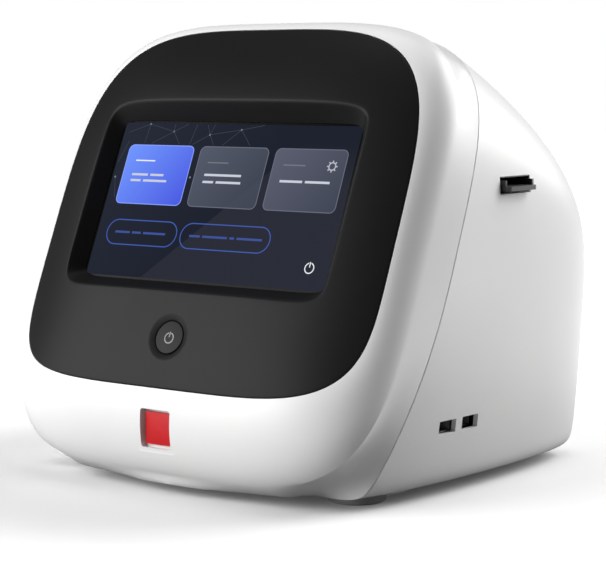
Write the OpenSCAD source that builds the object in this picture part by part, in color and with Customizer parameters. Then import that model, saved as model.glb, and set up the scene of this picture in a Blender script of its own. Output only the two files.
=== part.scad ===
// Bench-top automated cell counter.
// A white moulded case in two shells leans its dark touch panel back at the user.
// Behind it a motor-driven slide tray runs out through a port in the right side,
// over an upright microscope made of a camera, a filter block and a focusing lens.
// X is to the right, Y to the back and Z up; the origin is on the bench, under the
// middle of the case.

/* [Case] */
// Width of the case at the seam between its two shells
case_w = 245; // [225:1:275]
// Height of the screen's centre above the bench
screen_z = 144.7; // [136:0.1:165]
// Angle by which the face leans back
tilt = 23.35; // [18:0.05:28]
// From the screen's centre up the face to the crease round the front shell
face_rise = 107.5; // [100:0.5:118]
// From the screen's centre back to the rear wall
rear_d = 193; // [180:1:225]
// How far the chin stands in front of the screen's centre
chin_reach = 52.7; // [48:0.1:58]
// Width of the white border at the sides and top of the panel
border_w = 9.7; // [7:0.1:14]
// Height of the white chin under the panel, measured along the face
chin_h = 38.6; // [32:0.1:46]
// Width of the flat rear wall
back_w = 192; // [170:1:205]
// Thickness of the moulded walls
wall = 2.5; // [2:0.1:3.5]
// Thickness of the rear shell's floor
floor_t = 4; // [3.5:0.1:6]

/* [Panel] */
// Height of the panel's crown above the glass
crown_h = 13.3; // [11:0.1:15]
// Thickness of the moulded panel
panel_t = 2.4; // [1.8:0.1:3]
// Width of the recess round the screen, at its rim
rim_w = 167.8; // [164:0.1:176]
// Height of the recess round the screen, at its rim
rim_h = 103.3; // [98:0.1:108]
// Gap between the panel and the white border
panel_gap = 0.3; // [0.15:0.05:0.6]

/* [Screen] */
// Width of the lit area
screen_w = 154.2; // [148:0.1:158]
// Height of the lit area
screen_h = 85.9; // [82:0.1:90]
// Thickness of the touch glass
glass_t = 1.2; // [0.7:0.1:2]
// Thickness of the display behind the glass
lcd_t = 5.6; // [4:0.1:8]
// Thickness of the sheet that holds the display
bracket_t = 1.8; // [1.2:0.1:3]

/* [Power button] */
// Radius of the button
button_r = 8.5; // [7:0.1:10]
// Distance of the button below the screen's centre
button_v = 76; // [72:0.5:80]
// Travel of the button
button_travel = 1.5; // [1:0.1:2.5]
// Clearance round the button
button_fit = 0.1; // [0.05:0.01:0.15]

/* [Badge] */
// Width of the coloured plate
badge_w = 15.6; // [12:0.1:20]
// Height of the coloured plate
badge_h = 16.2; // [12:0.1:18]
// Depth of the plate below the chin
badge_depth = 3.4; // [2:0.1:4.5]

/* [Slide port] */
// Distance of the port's centre behind the origin
port_y = 18; // [12:0.5:24]
// Height of the port's centre above the bench
port_z = 153.7; // [150:0.1:158]
// Outside width of the port's frame
port_w = 31; // [30.5:0.1:36]
// Outside height of the port's frame
port_h = 8.8; // [8.6:0.1:12]
// Wall of the port's frame
port_wall = 0.6; // [0.5:0.05:0.8]

/* [Slide tray] */
// Width of the pocket that takes the slide
pocket_w = 25.6; // [25:0.1:26]
// Thickness of the tray's floor
tray_t = 2.4; // [1.8:0.1:2.6]
// Thickness of the tray's side rails
tray_rail = 1.5; // [1:0.1:1.8]
// Length of the tray
tray_l = 95; // [90:1:110]
// How far the tray stands out of the case when it waits for a slide
tray_out = 4.6; // [2:0.1:6]
// Travel of the tray into the case
tray_travel = 60; // [50:1:64]

/* [Stage] */
// Height of the stage plate's top above the bench
stage_z = 137; // [133:0.5:138]
// Thickness of the stage plate
stage_t = 3; // [2:0.1:5]
// Length of the stage plate
stage_l = 160; // [154:1:166]
// Depth of the stage plate
stage_d = 82; // [80:1:90]
// Radius of the tray's guide rods
rail_r = 3; // [2.5:0.1:3.5]
// Distance between the guide rods
rail_pitch = 38; // [36:0.5:42]
// Height of the rods above the stage plate
rail_rise = 8.5; // [7.5:0.1:9]
// Running clearance of rods, screws and plungers
run_fit = 0.05; // [0.03:0.01:0.08]
// Radius of the lead screw
screw_r = 3; // [2.5:0.1:3.5]
// Width of the stage motor
motor_w = 35; // [30:1:38]
// Length of the stage motor
motor_l = 34; // [26:1:38]

/* [Microscope] */
// Distance of the light path to the right of the origin
axis_x = 24; // [20:0.5:28]
// Radius of the objective lens
lens_r = 10; // [8:0.1:10.5]
// Length of the objective lens
lens_l = 39; // [34:0.5:39.5]
// Travel of the focus, up and down from the middle
focus_travel = 3; // [2:0.1:3.2]
// Radius of the focus rods
focus_rod_r = 2.5; // [2:0.1:3]
// Width of the camera
camera_w = 32; // [28:1:34]
// Width of the filter block
filter_w = 39; // [34:1:39]
// Height of the filter block
filter_h = 38; // [34:1:40]
// Radius of the lamp over the stage
lamp_r = 8; // [6:0.1:9.5]

/* [Sockets] */
// Height of the USB sockets above the bench
usb_z = 36.4; // [32:0.1:42]
// Distance between the two USB sockets
usb_pitch = 18.8; // [17:0.1:24]
// Distance of their middle in front of the origin
usb_y = 29; // [27:0.5:34]
// Width of a USB socket
usb_w = 13.1; // [12.6:0.1:14]
// Height of a USB socket
usb_h = 5.7; // [5.5:0.1:6.5]
// Radius of the power inlet's barrel
inlet_r = 5.5; // [5:0.1:7]

/* [Fan] */
// Width of the fan
fan_w = 60; // [50:1:66]
// Thickness of the fan
fan_t = 15; // [10:1:20]

/* [Base] */
// Distance from the sides of the case in to the base plate
base_inset = 19.5; // [18.5:0.5:23]
// Distance from the foot of the rear wall in to the base plate
base_heel = 15.85; // [14:0.05:20]
// Thickness of the base plate
base_t = 2; // [1.5:0.1:2.4]
// Height of the rubber feet
foot_h = 5; // [4:0.1:8]
// Radius of the rubber feet
foot_r = 15; // [12:0.5:15.5]

/* [Hidden] */
$fn = 48;

clear = 0.3;                 // seat clearance between separate pieces
ring_n = 80;                 // points round each section of the case
screen_y = (chin_reach - rear_d) / 2;
sa = sin(tilt);
ca = cos(tilt);
under_z = foot_h;            // the case's flat underside

// ---------------------------------------------------------------- case sections
level = -18;                 // greatest width of the front shell, along the face
crease_n = -16.5;            // the crease behind the glass
crease_lean = 0.03;
crease_a = case_w / 2 - 2.5;
crease_lift = 5.2;           // crease above the underside, at the chin
crease_bot = (under_z - screen_z + crease_lift - sa * (crease_n + crease_lean * level))
    / (ca - crease_lean * sa);

edge_level = -20;            // greatest width of the dark panel
edge_a = crease_a - border_w;
edge_up = face_rise - border_w - edge_level;
edge_down = edge_level - crease_bot - chin_h;
edge_n0 = -1.5;              // panel's edge behind the glass, at the sides
edge_drop = 2.5;             // falls back further at the top
edge_swell = 12.5;           // and comes forward over the chin

arc_from = 20;               // the border's section is an arc from this angle
arc_to = 78;                 // to this one, at the crease

seam_v = 109.5;              // top of the seam ring, along the face
seam_n = -35.7;
seam_top = [screen_y + seam_v * sa - seam_n * ca, screen_z + seam_v * ca + seam_n * sa];
seam_bot_y = screen_y - 18.7;
back_y = screen_y + rear_d;
back_top = [back_y, screen_z - 32];
back_bot_y = back_y - 15;
back_lift = 13.7;            // the rear wall's foot above the underside
shoulder = [back_y + 0.5, screen_z + 31.7];
heel_y = back_y - 3;

function bez(a, b, c, t) = a * (1 - t) * (1 - t) + b * 2 * t * (1 - t) + c * t * t;

// A place on the tilted face: x, v up the face and n out of it.
function face(x, v, n) = [x, screen_y + v * sa - n * ca, screen_z + v * ca + n * sa];

// Ring points stand closer together at the corners.
function ring_angle(i) = 360 * i / ring_n + 7.16 * sin(1440 * i / ring_n);

// Superellipse radius at an angle: half width a, up above and down below.
function super_r(th, a, up, down, p_up, p_down) =
    let (s = sin(th), b = s >= 0 ? up : down, p = s >= 0 ? p_up : p_down)
    pow(pow(abs(cos(th)) / a, p) + pow(abs(s) / b, p), -1 / p);

// The same radius, flattened softly at a drop below the centre.
function flat_r(r, th, drop, k) =
    pow(pow(r, -k) + pow(max(-sin(th), 1e-4) / drop, k), -1 / k);

function edge_at(th) = super_r(th, edge_a, edge_up, edge_down, 3.8, 4.6);
function edge_n(v) = v < edge_level
    ? edge_n0 + edge_swell * pow((edge_level - v) / edge_down, 4.6)
    : edge_n0 - edge_drop * pow((v - edge_level) / edge_up, 2);

// Edge of the dark panel, moved out by a gap and back by a depth.
function edge_ring(out, back) = [
    for (i = [0:ring_n - 1])
        let (th = ring_angle(i), r = edge_at(th), n = edge_n(edge_level + r * sin(th)))
        face((r + out) * cos(th), edge_level + (r + out) * sin(th), n - back)
];

// A ring of the white border at an arc angle, inset by a wall.
function border_ring(phi, inset) =
    let (
        out = (sin(phi) - sin(arc_from)) / (sin(arc_to) - sin(arc_from)),
        back = (cos(arc_from) - cos(phi)) / (cos(arc_from) - cos(arc_to))
    ) [
        for (i = [0:ring_n - 1])
            let (
                th = ring_angle(i),
                r = edge_at(th),
                e = [r * cos(th), edge_level + r * sin(th)],
                c_r = super_r(th, crease_a, face_rise - level, level - crease_bot, 4.2, 4.2),
                c = [c_r * cos(th), level + c_r * sin(th)],
                c_n = crease_n - crease_lean * (c[1] - level),
                q = e + (c - e) * out - [0, level],
                s = 1 - inset * sin(phi) / norm(q)
            )
            face(q[0] * s, level + q[1] * s,
                edge_n(e[1]) + (c_n - edge_n(e[1])) * back - inset * cos(phi))
    ];

// The flank's ring between crease and seam; it comes forward under the chin.
flank_n = -28;
flank_pull = 10.5;
flank_half = 70;
function flank_ring(inset, floor_inset) = [
    for (i = [0:ring_n - 1])
        let (
            th = ring_angle(i),
            r = super_r(th, case_w / 2 - 1 - inset, face_rise - level - 2.5 - inset,
                level - crease_bot + 5 - inset, 4.2, 3.2),
            x = r * cos(th),
            v = level + r * sin(th),
            pull = v < level ? flank_pull * (1 + cos(min(180, abs(x) / flank_half * 180))) / 2 : 0,
            p = face(x, v, flank_n + pull)
        )
        [p[0], p[1], max(p[2], under_z + floor_inset)]
];

// A section of the case behind the seam: t runs from the seam to the rear wall.
function case_ring(t, inset, floor_inset) =
    let (
        top = bez(seam_top, shoulder, back_top, t),
        bot = [bez(seam_bot_y, heel_y, back_bot_y, t),
            under_z + back_lift * pow(max(0, (t - 0.7) / 0.3), 2)],
        len = norm(top - bot),
        u = (top - bot) / len,
        drop = len * (0.48 - 0.03 * t),
        a = case_w / 2 + 4 * t - (case_w / 2 + 4 - back_w / 2) * pow(t, 3.4),
        spread = 1.7 + 4.5 * t * (1 - t) - 0.3 * t,
        k = 34 - 20 * pow(t, 3),
        ahead = inset * pow(t, 3)
    ) [
        for (i = [0:ring_n - 1])
            let (
                th = ring_angle(i),
                s = super_r(th, a - inset, len - drop - inset, drop * spread - inset,
                    4.2 + 0.8 * t, 2.1 + 0.8 * t + 1.6 * pow(t, 4)),
                r = flat_r(s, th, drop - floor_inset / u[1], k),
                q = bot + u * (drop + r * sin(th))
            )
            [r * cos(th), q[0] - ahead, q[1]]
    ];

// Skin through rings; a loop of rings closes on itself, a row is capped. The quads'
// diagonals are mirrored, so the left side matches the right.
module skin(rings, loop = false) {
    m = len(rings);
    last = loop ? m - 1 : m - 2;
    sides = [
        for (j = [0:last], i = [0:ring_n - 1])
            let (
                a = j * ring_n + i,
                b = j * ring_n + (i + 1) % ring_n,
                c = ((j + 1) % m) * ring_n + (i + 1) % ring_n,
                d = ((j + 1) % m) * ring_n + i
            )
            each i >= ring_n / 4 && i < ring_n * 3 / 4 ? [[a, b, d], [b, c, d]] : [[a, b, c], [a, c, d]]
    ];
    caps = loop ? [] : [
        [for (i = [ring_n - 1:-1:0]) i],
        [for (i = [0:ring_n - 1]) (m - 1) * ring_n + i]
    ];
    polyhedron([for (r = rings) each r], concat(sides, caps));
}

// ---------------------------------------------------------------- placing
module on_face() {
    translate([0, screen_y, screen_z]) rotate([90 - tilt, 0, 0]) children();
}

back_lean = atan2(back_top[0] - back_bot_y, back_top[1] - under_z - back_lift);
back_mid = [(back_top[0] + back_bot_y) / 2, (back_top[1] + under_z + back_lift) / 2];

// On the rear wall: x right, y down the wall and z out of it.
module on_back() {
    translate([0, back_mid[0], back_mid[1]]) rotate([-90 - back_lean, 0, 0]) children();
}

module mirror_copy() {
    children();
    mirror([1, 0, 0]) children();
}

module tube(r_out, r_in, h) {
    difference() {
        cylinder(r = r_out, h = h);
        translate([0, 0, -1]) cylinder(r = r_in, h = h + 2);
    }
}

// Rectangle with round corners, standing on z = 0, its middle at the origin.
module round_slab(w, d, h, r) {
    linear_extrude(height = h) {
        square([w - 2 * r, d], center = true);
        square([w, d - 2 * r], center = true);
        for (x = [-1, 1], y = [-1, 1])
            translate([x * (w / 2 - r), y * (d / 2 - r)]) circle(r = r);
    }
}

module screw(r, h, head_r, head_h) {
    translate([0, 0, -h]) cylinder(r = r, h = h);
    difference() {
        cylinder(r = head_r, h = head_h);
        translate([0, 0, head_h / 2]) cylinder(r = head_r * 0.45, h = head_h, $fn = 6);
    }
}

// ---------------------------------------------------------------- front shell
lap_in = 1.2;                // outer half of the lap joint at the seam
lap_t = 0.017;               // how far the tongue runs behind the seam
ledge_w = 5;                 // ledge that carries the dark panel
ledge_t = 1.6;
ledge_back = panel_t + 0.2;
badge_v = crease_bot + chin_h / 2;
badge_margin = 1;
badge_plate_t = 1;
badge_phi = asin(sin(arc_from) + (sin(arc_to) - sin(arc_from)) / 2);
badge_back = (cos(arc_from) - cos(badge_phi)) / (cos(arc_from) - cos(arc_to));
badge_crease_n = crease_n - crease_lean * (crease_bot - level);
badge_n = edge_n0 + edge_swell + (badge_crease_n - edge_n0 - edge_swell) * badge_back;
badge_at = face(0, badge_v, badge_n);

// Facing forward at the badge: x right, y up and z out of the chin.
module at_badge() {
    translate(badge_at) rotate([90, 0, 0]) children();
}

module front_bezel() {
    pocket_w2 = badge_w + 2 * badge_margin;
    pocket_h2 = badge_h + 2 * badge_margin;
    pocket_d = badge_depth + badge_plate_t;
    color("white") difference() {
        union() {
            skin(concat(
                [for (k = [0:6]) border_ring(arc_from + (arc_to - arc_from) * k / 6, 0)],
                [flank_ring(0, 0), case_ring(0, 0, 0), case_ring(0, lap_in, lap_in)],
                [case_ring(lap_t, lap_in + clear / 2, lap_in + clear / 2)],
                [case_ring(lap_t, wall, floor_t), case_ring(0, wall, floor_t)],
                [flank_ring(wall, floor_t)],
                [for (k = [3:-1:1]) border_ring(arc_from + (arc_to - arc_from) * k / 3, wall)],
                [edge_ring(1, ledge_back + ledge_t), edge_ring(-ledge_w, ledge_back + ledge_t)],
                [edge_ring(-ledge_w, ledge_back), edge_ring(0, ledge_back)]
            ), loop = true);
            at_badge() translate([0, 0, -pocket_d - wall])
                round_slab(pocket_w2 + 2 * wall, pocket_h2 + 2 * wall, pocket_d + wall - 1.6, 2);
        }
        at_badge() translate([0, 0, -pocket_d]) round_slab(pocket_w2, pocket_h2, 20, 1.5);
    }
}

module badge_plate() {
    color("crimson") at_badge() translate([0, 0, -badge_depth - badge_plate_t])
        round_slab(badge_w, badge_h, badge_plate_t, 0.8);
}

// ---------------------------------------------------------------- dark panel
rim_v = -0.25;               // middle of the recess, just below the screen's
mouth_w = screen_w + 2.4;    // foot of the recess, round the lit area
mouth_h = screen_h + 2.4;
mouth_n = 0.25;
post_x = rim_w / 2 + 6;      // posts that carry the display
post_v = 30;
bracket_n = -glass_t - lcd_t;
button_n = crown_h - 0.5;    // panel's surface at the button
dish_r = button_r + 2.5;     // dish pressed round the button
dish_d = 1.3;
guide_n = 1.8;               // lower end of the button's guide tube
flange_t = 1.5;
switch_h = 3.4;
board_n = guide_n - 0.1 - flange_t - button_travel - 0.15 - switch_h;
board_post_x = button_r + 9.5;

function dome(x, v) =
    let (
        th = atan2(v - edge_level, x),
        r = edge_at(th),
        e = edge_n(edge_level + r * sin(th)),
        rho = norm([x, v - edge_level]) / r
    )
    e + (crown_h - e) * (1 - pow(rho, 4));

function round_rect(i, w, h, p) =
    let (th = ring_angle(i), c = cos(th), s = sin(th),
        r = pow(pow(abs(c), p) + pow(abs(s), p), -1 / p))
    [w / 2 * c * r, rim_v + h / 2 * s * r];

// A ring of the crowned panel: s runs from the recess to the panel's edge.
function panel_ring(s, grow, back) = [
    for (i = [0:ring_n - 1])
        let (
            th = ring_angle(i),
            r = edge_at(th) - panel_gap,
            e = [r * cos(th), edge_level + r * sin(th)],
            m = round_rect(i, rim_w + grow, rim_h + grow, 12),
            q = m + (e - m) * s
        )
        face(q[0], q[1], dome(q[0], q[1]) - back)
];

function mouth_ring(grow) = [
    for (i = [0:ring_n - 1])
        let (q = round_rect(i, mouth_w + grow, mouth_h + grow, 20))
        face(q[0], q[1], mouth_n)
];

module face_panel() {
    stops = [1, 0.93, 0.83, 0.68, 0.45, 0];
    color([0.16, 0.16, 0.17]) difference() {
        union() {
            skin(concat(
                [for (s = stops) panel_ring(s, 3.6, panel_t)],
                [mouth_ring(3.6), mouth_ring(0)],
                [for (k = [5:-1:0]) panel_ring(stops[k], 0, 0)]
            ), loop = true);
            on_face() {
                translate([0, -button_v, guide_n])
                    cylinder(r = dish_r + 1.2, h = button_n - guide_n - dish_d / 2);
                mirror_copy() for (v = [-post_v, post_v]) translate([post_x, v, bracket_n])
                    cylinder(r = 3.4, h = dome(post_x, v) - bracket_n - panel_t / 2);
                mirror_copy() translate([board_post_x, -button_v, board_n])
                    cylinder(r = 2.6, h = dome(board_post_x, -button_v) - board_n - panel_t / 2);
            }
        }
        on_face() {
            translate([0, -button_v, guide_n - 1])
                cylinder(r = button_r + button_fit, h = 20);
            translate([0, -button_v, button_n - dish_d])
                cylinder(r1 = button_r + 0.8, r2 = dish_r + 0.4, h = dish_d * 1.4);
            mirror_copy() for (v = [-post_v, post_v])
                translate([post_x, v, bracket_n - 1]) cylinder(r = 1.5, h = 7);
        }
    }
}

// Raised power sign: a broken ring with a bar through the gap.
module power_sign(r, w, h) {
    difference() {
        tube(r, r - w, h);
        translate([-1.3 * w, 0, -1]) cube([2.6 * w, r + 1, h + 2]);
    }
    translate([-w / 2, r * 0.2, 0]) cube([w, r * 0.9, h]);
}

module power_button() {
    face_n = button_n - 1;
    color([0.22, 0.22, 0.23]) on_face() translate([0, -button_v, 0]) difference() {
        union() {
            translate([0, 0, guide_n - 1]) cylinder(r = button_r, h = face_n - guide_n + 1);
            translate([0, 0, guide_n - 0.1 - flange_t]) cylinder(r = button_r + 1.4, h = flange_t);
        }
        translate([0, 0, face_n - 0.3]) power_sign(3.1, 0.55, 1);
    }
}

module button_board() {
    color("darkgreen") on_face() translate([0, -button_v, board_n]) {
        difference() {
            translate([0, 0, -1.6]) round_slab(2 * board_post_x + 8, 20, 1.6, 2);
            mirror_copy() translate([board_post_x, 0, -2]) cylinder(r = 1.2, h = 3);
        }
        translate([-3, -3, 0]) cube([6, 6, switch_h - 1]);
        cylinder(r = 1.75, h = switch_h);
    }
}

// ---------------------------------------------------------------- display
glass_w = mouth_w + 3.4;
glass_h = mouth_h + 3.4;

module touch_glass() {
    color([0.05, 0.06, 0.09]) on_face() translate([0, rim_v, -glass_t])
        round_slab(glass_w, glass_h, glass_t, 2);
}

module display_module() {
    color("silver") on_face() translate([0, rim_v, bracket_n]) {
        round_slab(glass_w - 3, glass_h - 3, lcd_t, 1);
    }
}

module display_bracket() {
    bw = 2 * post_x + 9;
    bh = 2 * post_v + 12;
    color("gainsboro") on_face() translate([0, 0, bracket_n - bracket_t]) difference() {
        round_slab(bw, bh, bracket_t, 5);
        mirror_copy() translate([bw / 5, 0, -1]) round_slab(bw / 4, bh / 2, bracket_t + 2, 6);
        mirror_copy() for (v = [-post_v, post_v]) translate([post_x, v, -1])
            cylinder(r = 1.6, h = bracket_t + 2);
    }
}

module display_screws() {
    color("dimgray") on_face() mirror_copy() for (v = [-post_v, post_v])
        translate([post_x, v, bracket_n - bracket_t]) rotate([180, 0, 0])
            screw(1.45, bracket_t + 4, 2.8, 1.8);
}

// ---------------------------------------------------------------- rear shell
base_w = case_w - 2 * base_inset;
base_front = seam_bot_y + 8.2;         // clear of the front shell's tongue
base_back = back_bot_y - base_heel;
base_d = base_back - base_front;
base_y = (base_back + base_front) / 2;
base_r = 25;                 // its front corners
base_ledge = 7;              // how far the shell's floor laps the base plate
boss_x = base_w / 2 - base_ledge / 2;
boss_y = base_d / 2 - 24;            // screw bosses, from the plate's middle
boss_h = 9;
boss_r = 4;
usb_gap = 0.5;               // round a USB socket in its cut-out
fan_x = -42;
inlet_x = 58;
inlet_down = 22;
vent_w = 3;
vent_step = 6;
screw_gap = fan_w * 0.417;   // fan screws from the fan's middle

module base_outline(grow, h) {
    w = base_w + 2 * grow;
    d = base_d + 2 * grow;
    r = base_r + grow;
    translate([0, base_y, 0]) linear_extrude(height = h) {
        square([w - 2 * r, d], center = true);
        translate([-w / 2, -d / 2 + r]) square([w, d - r - 14]);
        translate([-w / 2 + 14, -d / 2 + r]) square([w - 28, d - r]);
        for (x = [-1, 1]) {
            translate([x * (w / 2 - r), -d / 2 + r]) circle(r = r);
            translate([x * (w / 2 - 14), d / 2 - 14]) circle(r = 14);
        }
    }
}

module at_bosses() {
    for (x = [-boss_x, boss_x], y = [-boss_y, 0, boss_y])
        translate([x, base_y + y, 0]) children();
}

module at_fan_screws() {
    for (x = [-1, 1], y = [-1, 1])
        translate([fan_x + x * screw_gap, y * screw_gap, 0]) children();
}

module rear_housing() {
    stations = [0.09, 0.2, 0.32, 0.45, 0.58, 0.7, 0.8, 0.88, 0.95, 1];
    inner = [1, 0.88, 0.72, 0.52, 0.3];
    ledge_z = under_z + base_t;
    color("white") difference() {
        union() {
            skin(concat(
                [for (t = inner) case_ring(t, wall, floor_t)],
                [case_ring(lap_t + 0.002, wall, floor_t)],
                [case_ring(lap_t + 0.002, lap_in - clear / 2, lap_in - clear / 2)],
                [case_ring(0.0016, lap_in - clear / 2, lap_in - clear / 2)],
                [case_ring(0.0016, 0, 0)],
                [for (t = stations) case_ring(t, 0, 0)]
            ));
            at_bosses() translate([0, 0, ledge_z + 0.5]) cylinder(r = boss_r, h = boss_h);
        }
        translate([0, 0, under_z - 1]) base_outline(0.2, base_t + 1);
        translate([0, 0, under_z - 1]) difference() {
            base_outline(-base_ledge, boss_h + 5);    // through the floor's rising edge
            at_bosses() cylinder(r = boss_r, h = 20);
        }
        at_bosses() translate([0, 0, ledge_z - 1]) cylinder(r = 1.5, h = boss_h);
        translate([case_w / 2 - 12, port_y - port_w / 2 - 0.1, port_z - port_h / 2 - 0.1])
            cube([24, port_w + 0.2, port_h + 0.2]);
        for (s = [-1, 1])
            translate([case_w / 2 - 16, -usb_y + s * usb_pitch / 2 - usb_w / 2 - usb_gap / 2,
                usb_z - usb_h / 2 - usb_gap]) cube([30, usb_w + usb_gap, usb_h + 2 * usb_gap]);
        on_back() {
            for (k = [-4:4])
                let (half = sqrt(pow(fan_w * 0.45, 2) - pow(k * vent_step, 2)))
                translate([fan_x - half, k * vent_step - vent_w / 2, -10])
                    cube([2 * half, vent_w, 20]);
            at_fan_screws() translate([0, 0, -10]) cylinder(r = 1.7, h = 20);
            translate([inlet_x, inlet_down, -10]) cylinder(r = inlet_r + 0.1, h = 20);
        }
    }
}

// ---------------------------------------------------------------- base
foot_x = base_w / 2 - 21.5;
foot_front_y = base_front + foot_r + 0.65;
foot_rear_y = base_back - foot_r - 3;
floor_top = under_z + base_t;
stem_r = 4;

module base_plate() {
    color("lightgray") translate([0, 0, under_z]) difference() {
        base_outline(0, base_t);
        at_bosses() {
            translate([0, 0, -1]) cylinder(r = 1.6, h = base_t + 2);
            translate([0, 0, -0.01]) cylinder(r1 = 3.1, r2 = 1.6, h = 1.5);
        }
        for (x = [-foot_x, foot_x], y = [foot_front_y, foot_rear_y])
            translate([x, y, -1]) cylinder(r = stem_r, h = base_t + 2);
        for (k = [0:7]) translate([-92 + k * 5, -30, -1]) cube([2.6, 46, base_t + 2]);
    }
}

module base_screws() {
    color("dimgray") at_bosses() translate([0, 0, under_z]) difference() {
        union() {
            cylinder(r1 = 3, r2 = 1.45, h = 1.5);
            cylinder(r = 1.45, h = base_t + 6);
        }
        translate([0, 0, -1]) cylinder(r = 1.1, h = 1.8, $fn = 6);
    }
}

module foot(x, y) {
    color([0.12, 0.12, 0.12]) translate([x, y, 0]) rotate_extrude() polygon([
        [2.5, 1.5], [2.5, 0], [foot_r - 1.4, 0], [foot_r - 0.4, 0.6], [foot_r, foot_h - 0.6],
        [foot_r, foot_h], [stem_r, foot_h], [stem_r, floor_top],
        [stem_r + 1.2, floor_top], [stem_r - 1, floor_top + 3], [0, floor_top + 3], [0, 1.5]
    ]);
}

module foot_front_left() { foot(-foot_x, foot_front_y); }
module foot_front_right() { foot(foot_x, foot_front_y); }
module foot_rear_left() { foot(-foot_x, foot_rear_y); }
module foot_rear_right() { foot(foot_x, foot_rear_y); }

// ---------------------------------------------------------------- slide port and tray
side_x = case_w / 2;         // the case's side at the port
tray_z = port_z - port_h / 2 + port_wall + 0.9;    // under the tray
tray_w = pocket_w + 2 * tray_rail;
tray_end = side_x + tray_out;
rail_top = port_z + port_h / 2 - port_wall - 1.3;
guide_h = 1.6;

module slide_port_frame() {
    depth = 9;
    lip = 4.7;               // inner lip, against the inside of the wall
    color([0.08, 0.08, 0.08]) translate([side_x, port_y, port_z]) rotate([0, 90, 0]) {
        difference() {
            union() {
                translate([0, 0, -depth]) round_slab(port_h, port_w, depth - 0.9, 0.8);
                translate([0, 0, -lip - 1.6]) round_slab(port_h + 4, port_w + 4, 1.6, 1);
            }
            translate([0, 0, -depth - 1])
                round_slab(port_h - 2 * port_wall, port_w - 2 * port_wall, depth + 3, 0.5);
        }
    }
}

module slide_tray() {
    color([0.17, 0.17, 0.17]) translate([tray_end - tray_l, port_y, tray_z]) difference() {
        union() {
            translate([tray_l / 2, 0, 0]) round_slab(tray_l, tray_w, tray_t, 2.5);
            for (s = [-1, 1]) translate([0, s * (tray_w - tray_rail) / 2 - tray_rail / 2, 0])
                translate([2.5, 0, 0]) cube([tray_l - 5, tray_rail, rail_top - tray_z]);
            translate([2.5, -tray_w / 2, 0]) cube([tray_rail, tray_w, rail_top - tray_z]);
        }
        translate([tray_l - 42, 0, -1]) round_slab(48, 18, tray_t + 2, 3);
    }
}

rail_z = stage_z + rail_rise;
fork_x = tray_end - tray_l;  // inner end of the carriage and of the tray
fork_l = 56;
fork_bar = 12;
fork_w = rail_pitch + 12;
fork_gap = 2 * lens_r + 2;
fork_bot = stage_z + 3.5;
drive_y = port_y + fork_w / 2 + 6;
drive_arm = 12;

module along_x(x, y, z, r, l) {
    translate([x, y, z]) rotate([0, 90, 0]) cylinder(r = r, h = l);
}

module tray_carriage() {
    color("silver") difference() {
        union() {
            translate([fork_x, port_y - fork_w / 2, fork_bot]) cube([fork_l, fork_w, tray_z - fork_bot]);
            translate([fork_x, port_y + fork_w / 2 - 1, fork_bot])
                cube([fork_bar, drive_arm + 1, tray_z - fork_bot]);
        }
        translate([fork_x + fork_bar, port_y - fork_gap / 2, fork_bot - 1])
            cube([fork_l, fork_gap, tray_z - fork_bot + 2]);
        for (s = [-1, 1])
            along_x(fork_x - 1, port_y + s * rail_pitch / 2, rail_z, rail_r + run_fit, fork_l + 2);
        along_x(fork_x - 1, drive_y, rail_z, screw_r + run_fit, fork_bar + 2);
    }
}

block_w = 10;
stage_x = side_x - 14.5 - stage_l;    // left end of the stage plate
stage_y = port_y - rail_pitch / 2 - 5;
block_inner_x = stage_x + 6;
block_outer_x = stage_x + stage_l - block_w;
block_h = rail_rise + rail_r + 1.3;

module tray_rods() {
    color("silver") for (s = [-1, 1])
        along_x(block_inner_x, port_y + s * rail_pitch / 2, rail_z, rail_r,
            block_outer_x + block_w - block_inner_x - 1);
}

module rod_block(x, reach) {
    w = rail_pitch + 10;
    color("gray") difference() {
        translate([x, port_y - w / 2, stage_z]) cube([block_w, w + reach, block_h]);
        for (s = [-1, 1])
            along_x(x - 1, port_y + s * rail_pitch / 2, rail_z, rail_r, block_w + 2);
        along_x(x - 1, drive_y, rail_z, screw_r + run_fit, block_w + 2);
        translate([x - 1, port_y - fork_gap / 2, stage_z + 4]) cube([block_w + 2, fork_gap, block_h]);
    }
}

module rod_block_inner() { rod_block(block_inner_x, 0); }
module rod_block_outer() { rod_block(block_outer_x, drive_y - port_y - rail_pitch / 2 + 1); }

motor_gap = 0.3;
motor_face = stage_x - 2;
motor_bore = 10;

module lead_screw() {
    color("silver") along_x(motor_face - motor_bore + 1, drive_y, rail_z, screw_r,
        block_outer_x + block_w - motor_face + motor_bore - 2);
}

module stage_motor() {
    color([0.2, 0.2, 0.2]) translate([motor_face, drive_y, rail_z]) rotate([0, -90, 0])
        difference() {
            union() {
                round_slab(motor_w, motor_w, motor_l, 4);
                translate([0, 0, -2]) cylinder(r = 10, h = 3);
            }
            translate([0, 0, -3]) cylinder(r = screw_r + run_fit, h = motor_bore + 3);
            for (s = [-1, 1], r = [0, 90]) rotate([0, 0, r])
                translate([s * (motor_w / 2 + 1.5), 0, 4]) cylinder(r = 3, h = motor_l - 8);
        }
}

module stage_plate() {
    lip_h = motor_w / 2 + rail_rise;
    color("gainsboro") difference() {
        union() {
            translate([stage_x, stage_y, stage_z - stage_t]) cube([stage_l, stage_d, stage_t]);
            translate([motor_face, drive_y - motor_w / 2, stage_z - stage_t])
                cube([2, motor_w, lip_h + stage_t]);
        }
        translate([axis_x, port_y, stage_z - stage_t - 1]) cylinder(r = lens_r + 2, h = stage_t + 2);
        along_x(motor_face - 1, drive_y, rail_z, 10.1, 4);
    }
}

// ---------------------------------------------------------------- chassis
sheet = 2;
flange = 12;

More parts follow.
